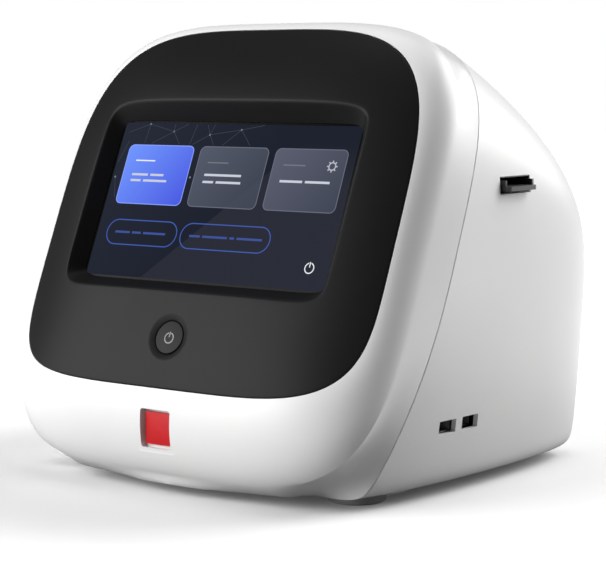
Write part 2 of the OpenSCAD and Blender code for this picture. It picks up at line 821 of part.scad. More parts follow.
// A folded upright: its foot turns left and its top turns right.
module chassis_side(x, depth) {
    h = stage_z - stage_t - floor_top;
    window_h = h - 50;
    color("gainsboro") difference() {
        union() {
            translate([x, stage_y, floor_top]) cube([sheet, depth, h]);
            translate([x + sheet - flange, stage_y, floor_top]) cube([flange, depth, sheet]);
            translate([x, stage_y, floor_top + h - sheet]) cube([flange, depth, sheet]);
        }
        translate([x - 1, stage_y + depth / 2, floor_top + h / 2]) rotate([0, 90, 0])
            round_slab(window_h, depth - 36, sheet + 2, 10);
    }
}

module chassis_left() { chassis_side(stage_x, stage_d); }
module chassis_right() { chassis_side(stage_x + stage_l - 22, foot_rear_y - foot_r / 2 + 1.5 - stage_y); }

// ---------------------------------------------------------------- microscope
focus_rod_x = 15;            // rods to each side of the light path
focus_rod_y = port_y + 28;
lens_top = stage_z - 1;
collar_h = 16;
collar_z = lens_top - lens_l;
pad_z = floor_top + 6;       // top of the optics base
camera_h = 30;
mount_h = 7;
filter_z = pad_z + camera_h + mount_h;
pedestal_h = 47;
focus_motor_w = 20;
focus_motor_h = 24;
plunger_r = 2;

module objective_lens() {
    color([0.25, 0.25, 0.25]) translate([axis_x, port_y, collar_z]) difference() {
        union() {
            cylinder(r = lens_r, h = lens_l - 6);
            translate([0, 0, lens_l - 6]) cylinder(r1 = lens_r, r2 = lens_r * 0.6, h = 6);
        }
        translate([0, 0, -1]) cylinder(r = lens_r * 0.6, h = 6);
        translate([0, 0, lens_l - 1]) cylinder(r = lens_r * 0.4, h = 2);
    }
}

module focus_carriage() {
    reach = focus_rod_y - port_y;
    color("silver") translate([axis_x, port_y, collar_z]) difference() {
        union() {
            cylinder(r = lens_r + 4, h = collar_h);
            translate([-lens_r - 1, 0, 0]) cube([2 * lens_r + 2, reach, collar_h]);
            translate([-focus_rod_x - 6, reach - 6, 0]) cube([2 * focus_rod_x + 12, 12, collar_h]);
            translate([0, reach, -17]) cylinder(r = plunger_r, h = 18);
        }
        translate([0, 0, -1]) cylinder(r = lens_r, h = collar_h + 2);
        for (s = [-1, 1]) translate([s * focus_rod_x, reach, -1])
            cylinder(r = focus_rod_r + run_fit, h = collar_h + 2);
    }
}

module focus_rods() {
    color("silver") for (s = [-1, 1])
        translate([axis_x + s * focus_rod_x, focus_rod_y, pad_z - 4])
            cylinder(r = focus_rod_r, h = stage_z - stage_t - pad_z + 4);
}

module focus_motor() {
    z = pad_z + pedestal_h;
    color([0.2, 0.2, 0.2]) translate([axis_x, focus_rod_y, z]) difference() {
        union() {
            round_slab(focus_motor_w, focus_motor_w - 4, focus_motor_h, 2);
            translate([0, 0, focus_motor_h]) cylinder(r = 5, h = 2);
        }
        translate([0, 0, collar_z - 17 - focus_travel - 1 - z])
            cylinder(r = plunger_r + run_fit, h = 30);
    }
}

module optics_base() {
    w = 2 * focus_rod_x + 22;
    front = camera_w / 2 + 5;
    color("darkgray") difference() {
        union() {
            translate([axis_x - w / 2, port_y - front, floor_top])
                cube([w, front + focus_rod_y - port_y + 10, pad_z - floor_top]);
            translate([axis_x - 9, focus_rod_y - 7.5, pad_z - 1]) cube([18, 15, pedestal_h + 1]);
        }
        for (s = [-1, 1]) translate([axis_x + s * focus_rod_x, focus_rod_y, pad_z - 4])
            cylinder(r = focus_rod_r, h = 5);
    }
}

module camera_module() {
    color([0.15, 0.15, 0.16]) translate([axis_x, port_y, pad_z]) difference() {
        union() {
            round_slab(camera_w, camera_w, camera_h, 3);
            translate([0, 0, camera_h]) cylinder(r = 12, h = mount_h);
        }
        translate([0, 0, camera_h - 8]) cylinder(r = 8, h = mount_h + 9);
    }
}

module filter_block() {
    color([0.3, 0.3, 0.32]) translate([axis_x, port_y, filter_z]) difference() {
        round_slab(filter_w, filter_w, filter_h, 2);
        translate([0, 0, -1]) cylinder(r = 8, h = filter_h + 2);
        translate([0, 0, filter_h / 2]) rotate([90, 0, 0]) cylinder(r = 7, h = filter_w);
    }
}

module excitation_lamp() {
    fins = 5;
    color("gray") translate([axis_x, port_y - filter_w / 2, filter_z + filter_h / 2])
        rotate([90, 0, 0]) {
            translate([0, 0, -4]) cylinder(r = 7, h = 5);
            cylinder(r = 10, h = 12);
            translate([0, 0, 12]) round_slab(26, 26, 3, 2);
            for (k = [0:fins - 1]) translate([-13 + k * 6, -13, 14]) cube([2, 26, 8]);
        }
}

lamp_gap = 6;                // lamp above the tray's rails
lamp_z = rail_top + lamp_gap;
lamp_l = 28;
arm_z = lamp_z + 12;
arm_t = 8;
arm_w = 2 * lamp_r + 6;
column_y = drive_y + drive_arm - 6 + 3;

module lamp_arm() {
    color("silver") difference() {
        union() {
            translate([axis_x - arm_w / 2, column_y, stage_z]) cube([arm_w, 9, arm_z + arm_t - stage_z]);
            translate([axis_x - arm_w / 2, port_y, arm_z]) cube([arm_w, column_y - port_y + 1, arm_t]);
            translate([axis_x, port_y, arm_z]) cylinder(r = arm_w / 2, h = arm_t);
        }
        translate([axis_x, port_y, arm_z - 1]) cylinder(r = lamp_r, h = arm_t + 2);
    }
}

module condenser_lamp() {
    color([0.2, 0.2, 0.2]) translate([axis_x, port_y, lamp_z]) difference() {
        union() {
            cylinder(r = lamp_r, h = lamp_l);
            translate([0, 0, arm_z + arm_t - lamp_z]) cylinder(r = lamp_r + 2, h = 3);
        }
        translate([0, 0, -1]) cylinder(r = lamp_r - 2, h = 3);
    }
}

// ---------------------------------------------------------------- boards
standoff_h = 8;
board_t = 1.6;
board_w = stage_d - 6;
board_h = 104;
board_z = floor_top + 11;
board_x = stage_x - standoff_h - board_t;

module at_standoffs(x) {
    for (y = [5, board_w - 5], z = [5, board_h - 5])
        translate([x, stage_y + 3 + y, board_z + z]) rotate([0, 90, 0]) children();
}

module main_board() {
    chips = [[14, 30, 26, 3], [46, 34, 14, 2.4], [12, 66, 12, 2], [34, 74, 16, 2]];
    color("darkgreen") difference() {
        union() {
            translate([board_x, stage_y + 3, board_z]) cube([board_t, board_w, board_h]);
            for (c = chips)
                translate([board_x - c[3], stage_y + 3 + c[0], board_z + c[1]])
                    cube([c[3] + 0.5, c[2], c[2]]);
            for (k = [0:5])
                translate([board_x - 9, stage_y + 19 + k * 4, board_z + 32])
                    cube([7, 1.4, 22]);
            for (k = [0:3])
                translate([board_x + 0.5, stage_y + 62, board_z + 20 + k * 10]) rotate([0, -90, 0])
                    cylinder(r = 3, h = 9);
            translate([board_x - 8, stage_y + 14, board_z + 8]) cube([8.5, 40, 7]);
        }
        at_standoffs(board_x - 1) cylinder(r = 1.6, h = board_t + 2);
    }
}

module board_standoffs() {
    color("goldenrod") at_standoffs(board_x + board_t) cylinder(r = 2.6, h = standoff_h);
}

usb_depth = 14;
usb_mouth = side_x - 8;      // plane of the sockets' mouths
usb_skin = 0.4;
usb_board_z = usb_z - usb_h / 2 - board_t;
usb_board_l = 24;

module usb_board() {
    y0 = -usb_y - usb_pitch / 2 - usb_w / 2 - 2;
    w = usb_pitch + usb_w + 4;
    x0 = usb_mouth - 4 - usb_board_l;
    color("darkgreen") {
        translate([x0, y0, usb_board_z]) cube([usb_board_l, w, board_t]);
        for (y = [4, w - 4])
            translate([x0 + 5, y0 + y, floor_top]) cylinder(r = 2.6, h = usb_board_z - floor_top + 0.5);
    }
}

module usb_socket(side) {
    color("silver") translate([usb_mouth - usb_depth, -usb_y + side * usb_pitch / 2, usb_z])
        rotate([0, 90, 0]) {
            difference() {
                round_slab(usb_h, usb_w, usb_depth, 0.6);
                translate([0, 0, 1])
                    round_slab(usb_h - 2 * usb_skin, usb_w - 2 * usb_skin, usb_depth, 0.4);
            }
            translate([-1.6, -usb_w / 2 + 1.2, 0.5]) cube([1.6, usb_w - 2.4, usb_depth - 6]);
        }
}

module usb_socket_front() { usb_socket(-1); }
module usb_socket_rear() { usb_socket(1); }

module power_inlet() {
    color([0.1, 0.1, 0.1]) on_back() translate([inlet_x, inlet_down, 0]) {
        difference() {
            union() {
                cylinder(r = inlet_r + 2, h = 1.4);
                translate([0, 0, -16]) cylinder(r = inlet_r, h = 16.5);
                translate([0, 0, -wall - clear - 3]) cylinder(r = inlet_r + 2.5, h = 3, $fn = 6);
            }
            translate([0, 0, -12]) cylinder(r = 3.2, h = 20);
        }
        translate([0, 0, -13]) cylinder(r = 1.1, h = 12);
    }
}

// ---------------------------------------------------------------- fan
fan_bore = fan_w / 2 - 1.6;
hub_r = fan_w * 0.19;
fan_back = -wall - clear;    // the fan's outer face, behind the rear wall

module fan_frame() {
    color([0.13, 0.13, 0.13]) on_back() translate([fan_x, 0, fan_back - fan_t]) {
        difference() {
            round_slab(fan_w, fan_w, fan_t, 4);
            translate([0, 0, -1]) cylinder(r = fan_bore, h = fan_t + 2);
            for (x = [-1, 1], y = [-1, 1]) translate([x * screw_gap, y * screw_gap, -1])
                cylinder(r = 1.7, h = fan_t + 2);
        }
        cylinder(r = hub_r, h = 2);
        for (k = [0:3]) rotate([0, 0, 45 + 90 * k])
            translate([hub_r - 1, -1.5, 0]) cube([fan_bore - hub_r + 2, 3, 2]);
        translate([0, 0, 1]) cylinder(r = 2, h = fan_t - 4.5);
    }
}

module fan_rotor() {
    blades = 7;
    color([0.2, 0.2, 0.2]) on_back() translate([fan_x, 0, fan_back - fan_t + 2.5])
        difference() {
            union() {
                cylinder(r = hub_r, h = fan_t - 4);
                intersection() {
                    cylinder(r = fan_bore - 0.6, h = fan_t - 4);
                    for (k = [0:blades - 1]) rotate([0, 0, 360 * k / blades])
                        translate([hub_r - 1, 0, (fan_t - 4) / 2]) rotate([38, 0, 0])
                            translate([0, -0.6, -fan_t]) cube([fan_w / 2, 1.2, 2 * fan_t]);
                }
            }
            translate([0, 0, -1]) cylinder(r = 2 + run_fit, h = fan_t - 4.5);
        }
}

module fan_screws() {
    color("dimgray") on_back() at_fan_screws() screw(1.6, wall + clear + 6, 3, 1.8);
}

front_bezel();
face_panel();
badge_plate();
power_button();
button_board();
touch_glass();
display_module();
display_bracket();
display_screws();
rear_housing();
base_plate();
base_screws();
foot_front_left();
foot_front_right();
foot_rear_left();
foot_rear_right();
slide_port_frame();
slide_tray();
tray_carriage();
tray_rods();
rod_block_inner();
rod_block_outer();
lead_screw();
stage_motor();
stage_plate();
chassis_left();
chassis_right();
objective_lens();
focus_carriage();
focus_rods();
focus_motor();
optics_base();
filter_block();
excitation_lamp();
camera_module();
lamp_arm();
condenser_lamp();
main_board();
board_standoffs();
usb_board();
usb_socket_front();
usb_socket_rear();
power_inlet();
fan_frame();
fan_rotor();
fan_screws();
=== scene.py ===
# Bench-top automated cell counter: white moulded case, crowned dark touch panel, slide port.
import math
import bpy
import numpy as np
from mathutils import Matrix, Vector


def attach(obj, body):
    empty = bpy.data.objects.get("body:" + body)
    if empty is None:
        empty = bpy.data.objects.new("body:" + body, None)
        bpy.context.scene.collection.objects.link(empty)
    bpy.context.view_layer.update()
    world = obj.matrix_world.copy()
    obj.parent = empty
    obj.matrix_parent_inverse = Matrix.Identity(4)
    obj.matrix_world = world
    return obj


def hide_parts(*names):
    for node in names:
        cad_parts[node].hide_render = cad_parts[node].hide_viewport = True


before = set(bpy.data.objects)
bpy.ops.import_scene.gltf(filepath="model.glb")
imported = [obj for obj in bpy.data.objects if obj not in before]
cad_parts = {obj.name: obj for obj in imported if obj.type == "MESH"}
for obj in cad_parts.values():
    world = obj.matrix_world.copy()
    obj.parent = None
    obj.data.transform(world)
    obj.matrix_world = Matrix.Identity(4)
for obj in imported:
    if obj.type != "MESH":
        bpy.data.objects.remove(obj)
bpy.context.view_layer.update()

mm = 0.001
case = {
    "halfWidth": 122.5, "screenY": -70.15, "screenZ": 144.7, "tilt": 23.35,
    "rise": 107.5, "rearDepth": 193, "border": 9.7, "chin": 38.6, "backHalf": 96,
    "wall": 2.5, "floor": 4, "clear": 0.3, "underside": 5,
    "points": 336,              # round each section
}
lean = math.radians(case["tilt"])
leanSin, leanCos = math.sin(lean), math.cos(lean)
faceFrame = (Matrix.Translation((0, case["screenY"] * mm, case["screenZ"] * mm))
             @ Matrix.Rotation(math.pi / 2 - lean, 4, "X"))


# small helpers
def pick(*pieces):
    if bpy.context.object and bpy.context.object.mode != "OBJECT":
        bpy.ops.object.mode_set(mode="OBJECT")
    bpy.ops.object.select_all(action="DESELECT")
    for piece in pieces:
        piece.select_set(True)
    if pieces:
        bpy.context.view_layer.objects.active = pieces[0]


def named(name):
    piece = bpy.context.object
    piece.name = piece.data.name = name
    return piece


def settle(piece, place=None):
    # the place goes into the mesh, and the object stays at the origin
    if place is not None:
        piece.matrix_world = place @ piece.matrix_world
    pick(piece)
    bpy.ops.object.transform_apply(location=True, rotation=True, scale=True)
    return piece


def modify(piece, kind, **settings):
    pick(piece)
    modifier = piece.modifiers.new(kind.title(), kind)
    for key, value in settings.items():
        setattr(modifier, key, value)
    bpy.ops.object.modifier_apply(modifier=modifier.name)
    return piece


def cut(piece, cutter, how="DIFFERENCE"):
    modify(piece, "BOOLEAN", operation=how, object=cutter, solver="EXACT")
    bpy.data.objects.remove(cutter)
    return piece


def join(name, pieces):
    pick(*pieces)
    if len(pieces) > 1:
        bpy.ops.object.join()
    return named(name)


def smooth(piece):
    pick(piece)
    bpy.ops.object.shade_smooth_by_angle(angle=math.radians(32))
    return piece


def roundEdges(piece, width, segments=3, angle=40):
    return modify(piece, "BEVEL", width=width * mm, segments=segments, limit_method="ANGLE",
                  angle_limit=math.radians(angle), harden_normals=False)


def slab(name, size, low, radius, edge=0.0, at=(0, 0), steps=8):
    # a rectangle with round corners: width and height across, size[2] thick, its foot at low
    pick()
    bpy.ops.mesh.primitive_cube_add(size=1)
    piece = named(name)
    piece.data.transform(Matrix.Diagonal((size[0] * mm, size[1] * mm, size[2] * mm, 1)))
    bpy.ops.object.mode_set(mode="EDIT")
    bpy.ops.mesh.select_mode(type="EDGE")
    bpy.ops.mesh.select_all(action="DESELECT")
    bpy.ops.object.mode_set(mode="OBJECT")
    points = piece.data.vertices
    for line in piece.data.edges:
        first, last = (points[k].co for k in line.vertices)
        line.select = abs(first.x - last.x) < 1e-7 and abs(first.y - last.y) < 1e-7
    bpy.ops.object.mode_set(mode="EDIT")
    if radius > 0:
        bpy.ops.mesh.bevel(offset=radius * mm, segments=steps, affect="EDGES")
    bpy.ops.mesh.select_all(action="DESELECT")
    bpy.ops.object.mode_set(mode="OBJECT")
    piece.data.transform(Matrix.Translation(Vector((at[0], at[1], low + size[2] / 2)) * mm))
    if edge > 0:
        roundEdges(piece, edge)
    return piece


def rod(name, radius, low, high, at=(0, 0), sides=64):
    pick()
    bpy.ops.mesh.primitive_cone_add(
        vertices=sides, radius1=radius * mm, radius2=radius * mm, depth=(high - low) * mm,
        location=(at[0] * mm, at[1] * mm, (low + high) / 2 * mm))
    return settle(named(name))


def skin(name, rings, loop):
    # a grid whose rows are laid on the rings; each row closes on itself, and a loop of rings too
    rows = rings + [rings[0]] if loop else rings
    columns = len(rings[0])
    pick()
    bpy.ops.mesh.primitive_grid_add(x_subdivisions=columns, y_subdivisions=len(rows) - 1, size=1)
    piece = named(name)
    points = np.array([np.vstack([row, row[:1]]) for row in rows]).reshape(-1, 3) * mm
    piece.data.vertices.foreach_set("co", points.astype(np.float32).ravel())
    piece.data.update()
    bpy.ops.object.mode_set(mode="EDIT")
    bpy.ops.mesh.select_mode(type="VERT")
    bpy.ops.mesh.select_all(action="SELECT")
    bpy.ops.mesh.remove_doubles(threshold=1e-7)
    if not loop:
        bpy.ops.mesh.select_all(action="DESELECT")
        bpy.ops.mesh.select_non_manifold()
        bpy.ops.mesh.fill_holes(sides=0)
        bpy.ops.mesh.select_all(action="SELECT")
    bpy.ops.mesh.normals_make_consistent(inside=False)
    bpy.ops.mesh.select_all(action="DESELECT")
    bpy.ops.object.mode_set(mode="OBJECT")
    return piece


# finishes
def hexColor(code):
    values = [int(code[k:k + 2], 16) / 255 for k in (1, 3, 5)]
    return [v / 12.92 if v <= 0.04045 else ((v + 0.055) / 1.055) ** 2.4 for v in values] + [1]


def addNode(tree, kind, settings=None, inputs=None):
    node = tree.nodes.new("ShaderNode" + kind)
    for key, value in (settings or {}).items():
        setattr(node, key, value)
    for key, value in (inputs or {}).items():
        if isinstance(value, bpy.types.NodeSocket):
            tree.links.new(value, node.inputs[key])
        else:
            node.inputs[key].default_value = value
    return node


def startMaterial(name):
    material = bpy.data.materials.new(name)
    material.use_nodes = True
    material.node_tree.nodes.clear()
    return material, material.node_tree


def endMaterial(material, shader):
    addNode(material.node_tree, "OutputMaterial", None, {"Surface": shader.outputs[0]})
    return material


def finish(name, look):
    # a moulded, painted or machined surface: tone drifts slowly, gloss varies, and a fine grain
    # stands on it; brushed metal stretches the grain along one axis
    material, tree = startMaterial(name)
    place = addNode(tree, "TexCoord").outputs["Object"]
    stretch = addNode(tree, "Mapping", None, {
        "Vector": place, "Scale": look.get("stretch", (1, 1, 1))})
    drift = addNode(tree, "TexNoise", None, {
        "Vector": place, "Scale": 1 / (look.get("driftSize", 40) * mm), "Detail": 3.0})
    grain = addNode(tree, "TexNoise", None, {
        "Vector": stretch.outputs[0], "Scale": 1 / (look["grainSize"] * mm), "Detail": 2.0})
    tone = addNode(tree, "ValToRGB", None, {"Fac": drift.outputs["Fac"]})
    tone.color_ramp.elements[0].position = 0.3
    tone.color_ramp.elements[1].position = 0.7
    tone.color_ramp.elements[0].color = hexColor(look["color"])
    tone.color_ramp.elements[1].color = hexColor(look.get("second", look["color"]))
    gloss = addNode(tree, "MapRange", None, {
        "Value": grain.outputs["Fac"], "To Min": look["roughness"] - look.get("spread", 0.03),
        "To Max": look["roughness"] + look.get("spread", 0.03)})
    bump = addNode(tree, "Bump", None, {
        "Height": grain.outputs["Fac"], "Strength": look.get("grain", 0.1),
        "Distance": look.get("depth", 0.02) * mm})
    shader = addNode(tree, "BsdfPrincipled", None, {
        "Base Color": tone.outputs["Color"], "Roughness": gloss.outputs["Result"],
        "Normal": bump.outputs["Normal"], "Metallic": look.get("metallic", 0.0)})
    for key in ("IOR", "Coat Weight", "Coat Roughness", "Specular IOR Level"):
        if key in look:
            shader.inputs[key].default_value = look[key]
    return endMaterial(material, shader)


finishes = {
    # injection-moulded ABS, satin: bright, faint pearly drift, 0.3 mm spark grain
    "whiteAbs": {"color": "#ececec", "second": "#efefee", "roughness": 0.34, "grainSize": 0.35,
                 "grain": 0.06, "depth": 0.01, "IOR": 1.53, "driftSize": 60},
    # soft-touch lacquer on polycarbonate: dark, broad dim highlight
    "darkLacquer": {"color": "#181818", "second": "#1a1a1a", "roughness": 0.45, "grainSize": 0.3,
                    "grain": 0.08, "depth": 0.01, "IOR": 1.5, "Specular IOR Level": 0.1},
    "buttonLacquer": {"color": "#171717", "second": "#191919", "roughness": 0.42,
                      "grainSize": 0.25, "grain": 0.06, "depth": 0.01, "IOR": 1.5,
                      "Specular IOR Level": 0.1},
    # red enamel under clear resin: even, rich colour
    "redEnamel": {"color": "#c01c22", "second": "#c82226", "roughness": 0.4, "grainSize": 0.5,
                  "grain": 0.03, "depth": 0.01, "Specular IOR Level": 0.2,
                  "driftSize": 8},
    # toughened glass over black print: deep black with almost no grain
    "blackGlass": {"color": "#060607", "second": "#08080a", "roughness": 0.3, "grainSize": 2.0,
                   "grain": 0.01, "depth": 0.002, "spread": 0.01, "Specular IOR Level": 0.05},
    # silicone rubber: matt, slightly dusty; its grey is set lighter than the rubber's own, painted
    # light for the feet in the shade under the case
    "footRubber": {"color": "#a2a2a2", "second": "#acacab", "roughness": 0.72, "grainSize": 0.4,
                   "grain": 0.25, "depth": 0.02, "driftSize": 10},
    # glass-filled nylon, black: coarse matt skin
    "blackNylon": {"color": "#141414", "second": "#1b1b1b", "roughness": 0.5, "grainSize": 0.3,
                   "grain": 0.2, "depth": 0.02, "driftSize": 12},
    # black anodised aluminium, milled: edges catch light
    "trayAnodised": {"color": "#3a3a3c", "second": "#424244", "roughness": 0.36, "grainSize": 0.4,
                     "grain": 0.15, "depth": 0.01, "metallic": 0.1, "stretch": (0.15, 1, 1)},
    # aluminium sheet and blocks, brushed along X
    "brushedAluminium": {"color": "#a9abad", "second": "#b3b5b6", "roughness": 0.38,
                         "grainSize": 0.5, "grain": 0.2, "depth": 0.01, "metallic": 1.0,
                         "stretch": (0.05, 1, 1)},
    # zinc-plated pressed steel: cloudy grey shine
    "zincSteel": {"color": "#9b9c9c", "second": "#adaeac", "roughness": 0.32, "grainSize": 1.2,
                  "grain": 0.06, "depth": 0.01, "metallic": 1.0, "driftSize": 14},
    # tinned steel, softer than the sheet, painted darker and greyer as painted shade for the
    # sockets set back in their cut-outs
    "shadedSocketSteel": {"color": "#6f7071", "second": "#77787a", "roughness": 0.4, "grainSize": 0.8,
                    "grain": 0.06, "depth": 0.01, "metallic": 1.0, "driftSize": 14},
    # oiled steel screws: darker, with small sharp glints
    "screwSteel": {"color": "#5b5c5e", "second": "#68696a", "roughness": 0.35, "grainSize": 0.3,
                   "grain": 0.1, "depth": 0.01, "metallic": 1.0, "driftSize": 5},
    # ground and polished rod: long bright line
    "groundRod": {"color": "#c4c5c7", "second": "#cbccce", "roughness": 0.16, "grainSize": 0.3,
                  "grain": 0.06, "depth": 0.005, "metallic": 1.0, "stretch": (1, 0.1, 0.1)},
    # powder-coated steel, fine orange peel
    "powderCoat": {"color": "#c2c4c5", "second": "#c9cacb", "roughness": 0.5, "grainSize": 0.9,
                   "grain": 0.35, "depth": 0.03},
    # black enamel on steel: soft broad shine
    "motorBlack": {"color": "#1e1f20", "second": "#262728", "roughness": 0.45, "grainSize": 0.6,
                   "grain": 0.2, "depth": 0.02, "metallic": 0.3},
    # turned aluminium, anodised black: narrow highlight along the barrel
    "lensAnodised": {"color": "#17181a", "second": "#1d1e20", "roughness": 0.28,
                     "grainSize": 0.25, "grain": 0.1, "depth": 0.01, "metallic": 0.7},
    # turned brass: warm and bright
    "turnedBrass": {"color": "#c9a24e", "second": "#d3ad5b", "roughness": 0.25, "grainSize": 0.2,
                    "grain": 0.1, "depth": 0.01, "metallic": 1.0},
    # green solder mask with the copper's pattern faintly through it
    "solderMask": {"color": "#0f4a24", "second": "#14592d", "roughness": 0.3, "grainSize": 1.4,
                   "grain": 0.12, "depth": 0.02, "driftSize": 3},
    # moulded PBT, matt black: highlight nearly gone
    "fanPbt": {"color": "#121213", "second": "#191919", "roughness": 0.48, "grainSize": 0.35,
               "grain": 0.15, "depth": 0.02, "driftSize": 15},
    # screen-printed ink on the button: flat pale grey
    "greyInk": {"color": "#8e8e8e", "second": "#979797", "roughness": 0.5, "grainSize": 0.15,
                "grain": 0.1, "depth": 0.005, "driftSize": 3},
}
paint = {name: finish(name, look) for name, look in finishes.items()}


def litPaint(name, start, end, band=None):
    # a lit patch of the display: colour runs from its top left to its bottom right; the backdrop's
    # lighter lower half lies beyond a slanting line
    material, tree = startMaterial(name)
    place = addNode(tree, "TexCoord").outputs["Object"]
    turned = faceFrame.inverted()
    flat = addNode(tree, "Mapping", None, {
        "Vector": place, "Rotation": tuple(turned.to_euler()),
        "Location": tuple(turned.translation)})
    split = addNode(tree, "SeparateXYZ", None, {"Vector": flat.outputs[0]})
    (u0, v0), (u1, v1) = start[1], end[1]
    span = (u1 - u0) ** 2 + (v1 - v0) ** 2
    along = addNode(tree, "Math", {"operation": "MULTIPLY_ADD"}, {
        0: split.outputs["X"], 1: (u1 - u0) / span / mm,
        2: -(u0 * (u1 - u0) + v0 * (v1 - v0)) / span})
    across = addNode(tree, "Math", {"operation": "MULTIPLY_ADD"}, {
        0: split.outputs["Y"], 1: (v1 - v0) / span / mm, 2: along.outputs[0]})
    color = addNode(tree, "Mix", {"data_type": "RGBA"}, {
        "Factor": across.outputs[0], "A": hexColor(start[0]), "B": hexColor(end[0])})
    color.clamp_factor = True
    shown = color.outputs["Result"]
    if band:
        height = addNode(tree, "Math", {"operation": "MULTIPLY_ADD"}, {
            0: split.outputs["X"], 1: band["slope"], 2: band["lift"] * mm})
        under = addNode(tree, "Math", {"operation": "LESS_THAN"}, {
            0: split.outputs["Y"], 1: height.outputs[0]})
        fade = addNode(tree, "MapRange", None, {
            "Value": split.outputs["Y"], "From Min": 10 * mm, "From Max": 34 * mm,
            "To Min": band["share"], "To Max": 0.0})
        shade = addNode(tree, "Math", {"operation": "MULTIPLY"}, {
            0: under.outputs[0], 1: fade.outputs["Result"]})
        lighter = addNode(tree, "Mix", {"data_type": "RGBA"}, {
            "Factor": shade.outputs[0], "A": shown, "B": hexColor(band["color"])})
        shown = lighter.outputs["Result"]
    shader = addNode(tree, "BsdfPrincipled", None, {
        "Base Color": hexColor("#020202"), "Roughness": 0.5, "Emission Color": shown,
        "Emission Strength": 1.0, "Specular IOR Level": 0.0})
    return endMaterial(material, shader)


def dress(piece, name, body="case", stands=()):
    piece.data.materials.clear()
    piece.data.materials.append(paint[name])
    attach(piece, body)
    if stands:
        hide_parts(*stands)
    return piece


# carried-over CAD nodes get their real finish
nodeFinish = {
    "brushedAluminium": ["tray_carriage", "rod_block_inner", "rod_block_outer", "stage_plate",
                         "focus_carriage", "optics_base", "lamp_arm"],
    "zincSteel": ["display_module", "display_bracket", "chassis_left", "chassis_right"],
    "screwSteel": ["display_screws", "base_screws", "fan_screws"],
    "groundRod": ["tray_rods", "focus_rods", "lead_screw"],
    "powderCoat": ["base_plate"],
    "motorBlack": ["stage_motor", "focus_motor", "camera_module"],
    "lensAnodised": ["objective_lens", "filter_block", "excitation_lamp", "condenser_lamp"],
    "turnedBrass": ["board_standoffs"],
    "solderMask": ["main_board", "usb_board", "button_board"],
    "fanPbt": ["fan_frame", "fan_rotor", "power_inlet"],
    "footRubber": ["foot_front_left", "foot_front_right", "foot_rear_left", "foot_rear_right"],
}
for name, nodes in nodeFinish.items():
    for node in nodes:
        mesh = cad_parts[node].data
        mesh.materials.clear()
        mesh.materials.append(paint[name])
print("finishes made:", len(paint))


# sections of the case, in millimetres
def ringTurn(count):
    step = np.arange(count) / count * 2 * np.pi      # closer together at the corners
    return step + math.radians(7.16) * np.sin(4 * step)


turn = ringTurn(case["points"])
turnCos, turnSin = np.cos(turn), np.sin(turn)
level, edgeLevel = -18, -20     # greatest width of the case and of the panel, up the face
creaseN, creaseLean, creaseLift, creasePower = -16.5, 0.03, 5.2, 4.2
creaseHalf = case["halfWidth"] - 2.5
creaseFoot = ((case["underside"] - case["screenZ"] + creaseLift
               - leanSin * (creaseN + creaseLean * level)) / (leanCos - creaseLean * leanSin))
edge = {"half": creaseHalf - case["border"], "up": case["rise"] - case["border"] - edgeLevel,
        "down": edgeLevel - creaseFoot - case["chin"], "n": -1.5, "drop": 2.5, "swell": 12.5,
        "powerUp": 3.8, "powerDown": 4.6}
flank = {"inset": 1, "drop": 2.5, "dip": 5, "n": -28, "pull": 10.5, "pullHalf": 70,
         "powerUp": 4.2, "powerDown": 3.2}
# sections behind the seam, seen from the side: t is 0 at the seam and 1 at the back
profile = {"seamUp": 109.5, "seamBack": 35.7, "seamFoot": 18.7, "backTop": -32,
           "shoulder": 31.7, "shoulderOut": 0.5, "heel": 3, "footIn": 15, "footLift": 13.7,
           "liftFrom": 0.7}
# and seen from the front: widest at the belly, then tapering, with a flat underside
section = {"belly": 0.48, "bellyFade": 0.03, "swell": 4, "taper": 3.4, "spread": 1.7,
           "spreadSwell": 4.5, "spreadFade": 0.3, "flatPower": 34, "flatFade": 20,
           "powerUp": 4.2, "powerDown": 2.1, "sharpen": 0.8, "sharpenFoot": 1.6}
seamTop = np.array([case["screenY"] + profile["seamUp"] * leanSin + profile["seamBack"] * leanCos,
                    case["screenZ"] + profile["seamUp"] * leanCos - profile["seamBack"] * leanSin])
backY = case["screenY"] + case["rearDepth"]
backTop = np.array([backY, case["screenZ"] + profile["backTop"]])
shoulder = np.array([backY + profile["shoulderOut"], case["screenZ"] + profile["shoulder"]])
seamFoot, heel = case["screenY"] - profile["seamFoot"], backY - profile["heel"]
backFoot, backLift, liftFrom = backY - profile["footIn"], profile["footLift"], profile["liftFrom"]


def facePoints(x, v, n):
    return np.c_[x, case["screenY"] + v * leanSin - n * leanCos,
                 case["screenZ"] + v * leanCos + n * leanSin]


def bend(a, b, c, t):
    return a * (1 - t) ** 2 + b * 2 * t * (1 - t) + c * t * t


def superRadius(c, s, half, up, down, powerUp, powerDown):
    reach = np.where(s >= 0, up, down)
    power = np.where(s >= 0, powerUp, powerDown)
    return ((np.abs(c) / half) ** power + (np.abs(s) / reach) ** power) ** (-1 / power)


def edgeRadius(c, s):
    return superRadius(c, s, edge["half"], edge["up"], edge["down"],
                       edge["powerUp"], edge["powerDown"])


def edgeDepth(v):
    below = np.maximum(edgeLevel - v, 0) / edge["down"]
    above = np.maximum(v - edgeLevel, 0) / edge["up"]
    return edge["n"] + edge["swell"] * below ** edge["powerDown"] - edge["drop"] * above ** 2


edgeR = edgeRadius(turnCos, turnSin)
edgeX, edgeV = edgeR * turnCos, edgeLevel + edgeR * turnSin
edgeZ = edgeDepth(edgeV)


def edgeRing(out, back):
    r = edgeR + out
    return facePoints(r * turnCos, edgeLevel + r * turnSin, edgeZ - back)


arcFrom, arcTo = math.radians(20), math.radians(78)
creaseR = superRadius(turnCos, turnSin, creaseHalf, case["rise"] - level, level - creaseFoot,
                      creasePower, creasePower)
creaseX, creaseV = creaseR * turnCos, level + creaseR * turnSin
creaseZ = creaseN - creaseLean * (creaseV - level)


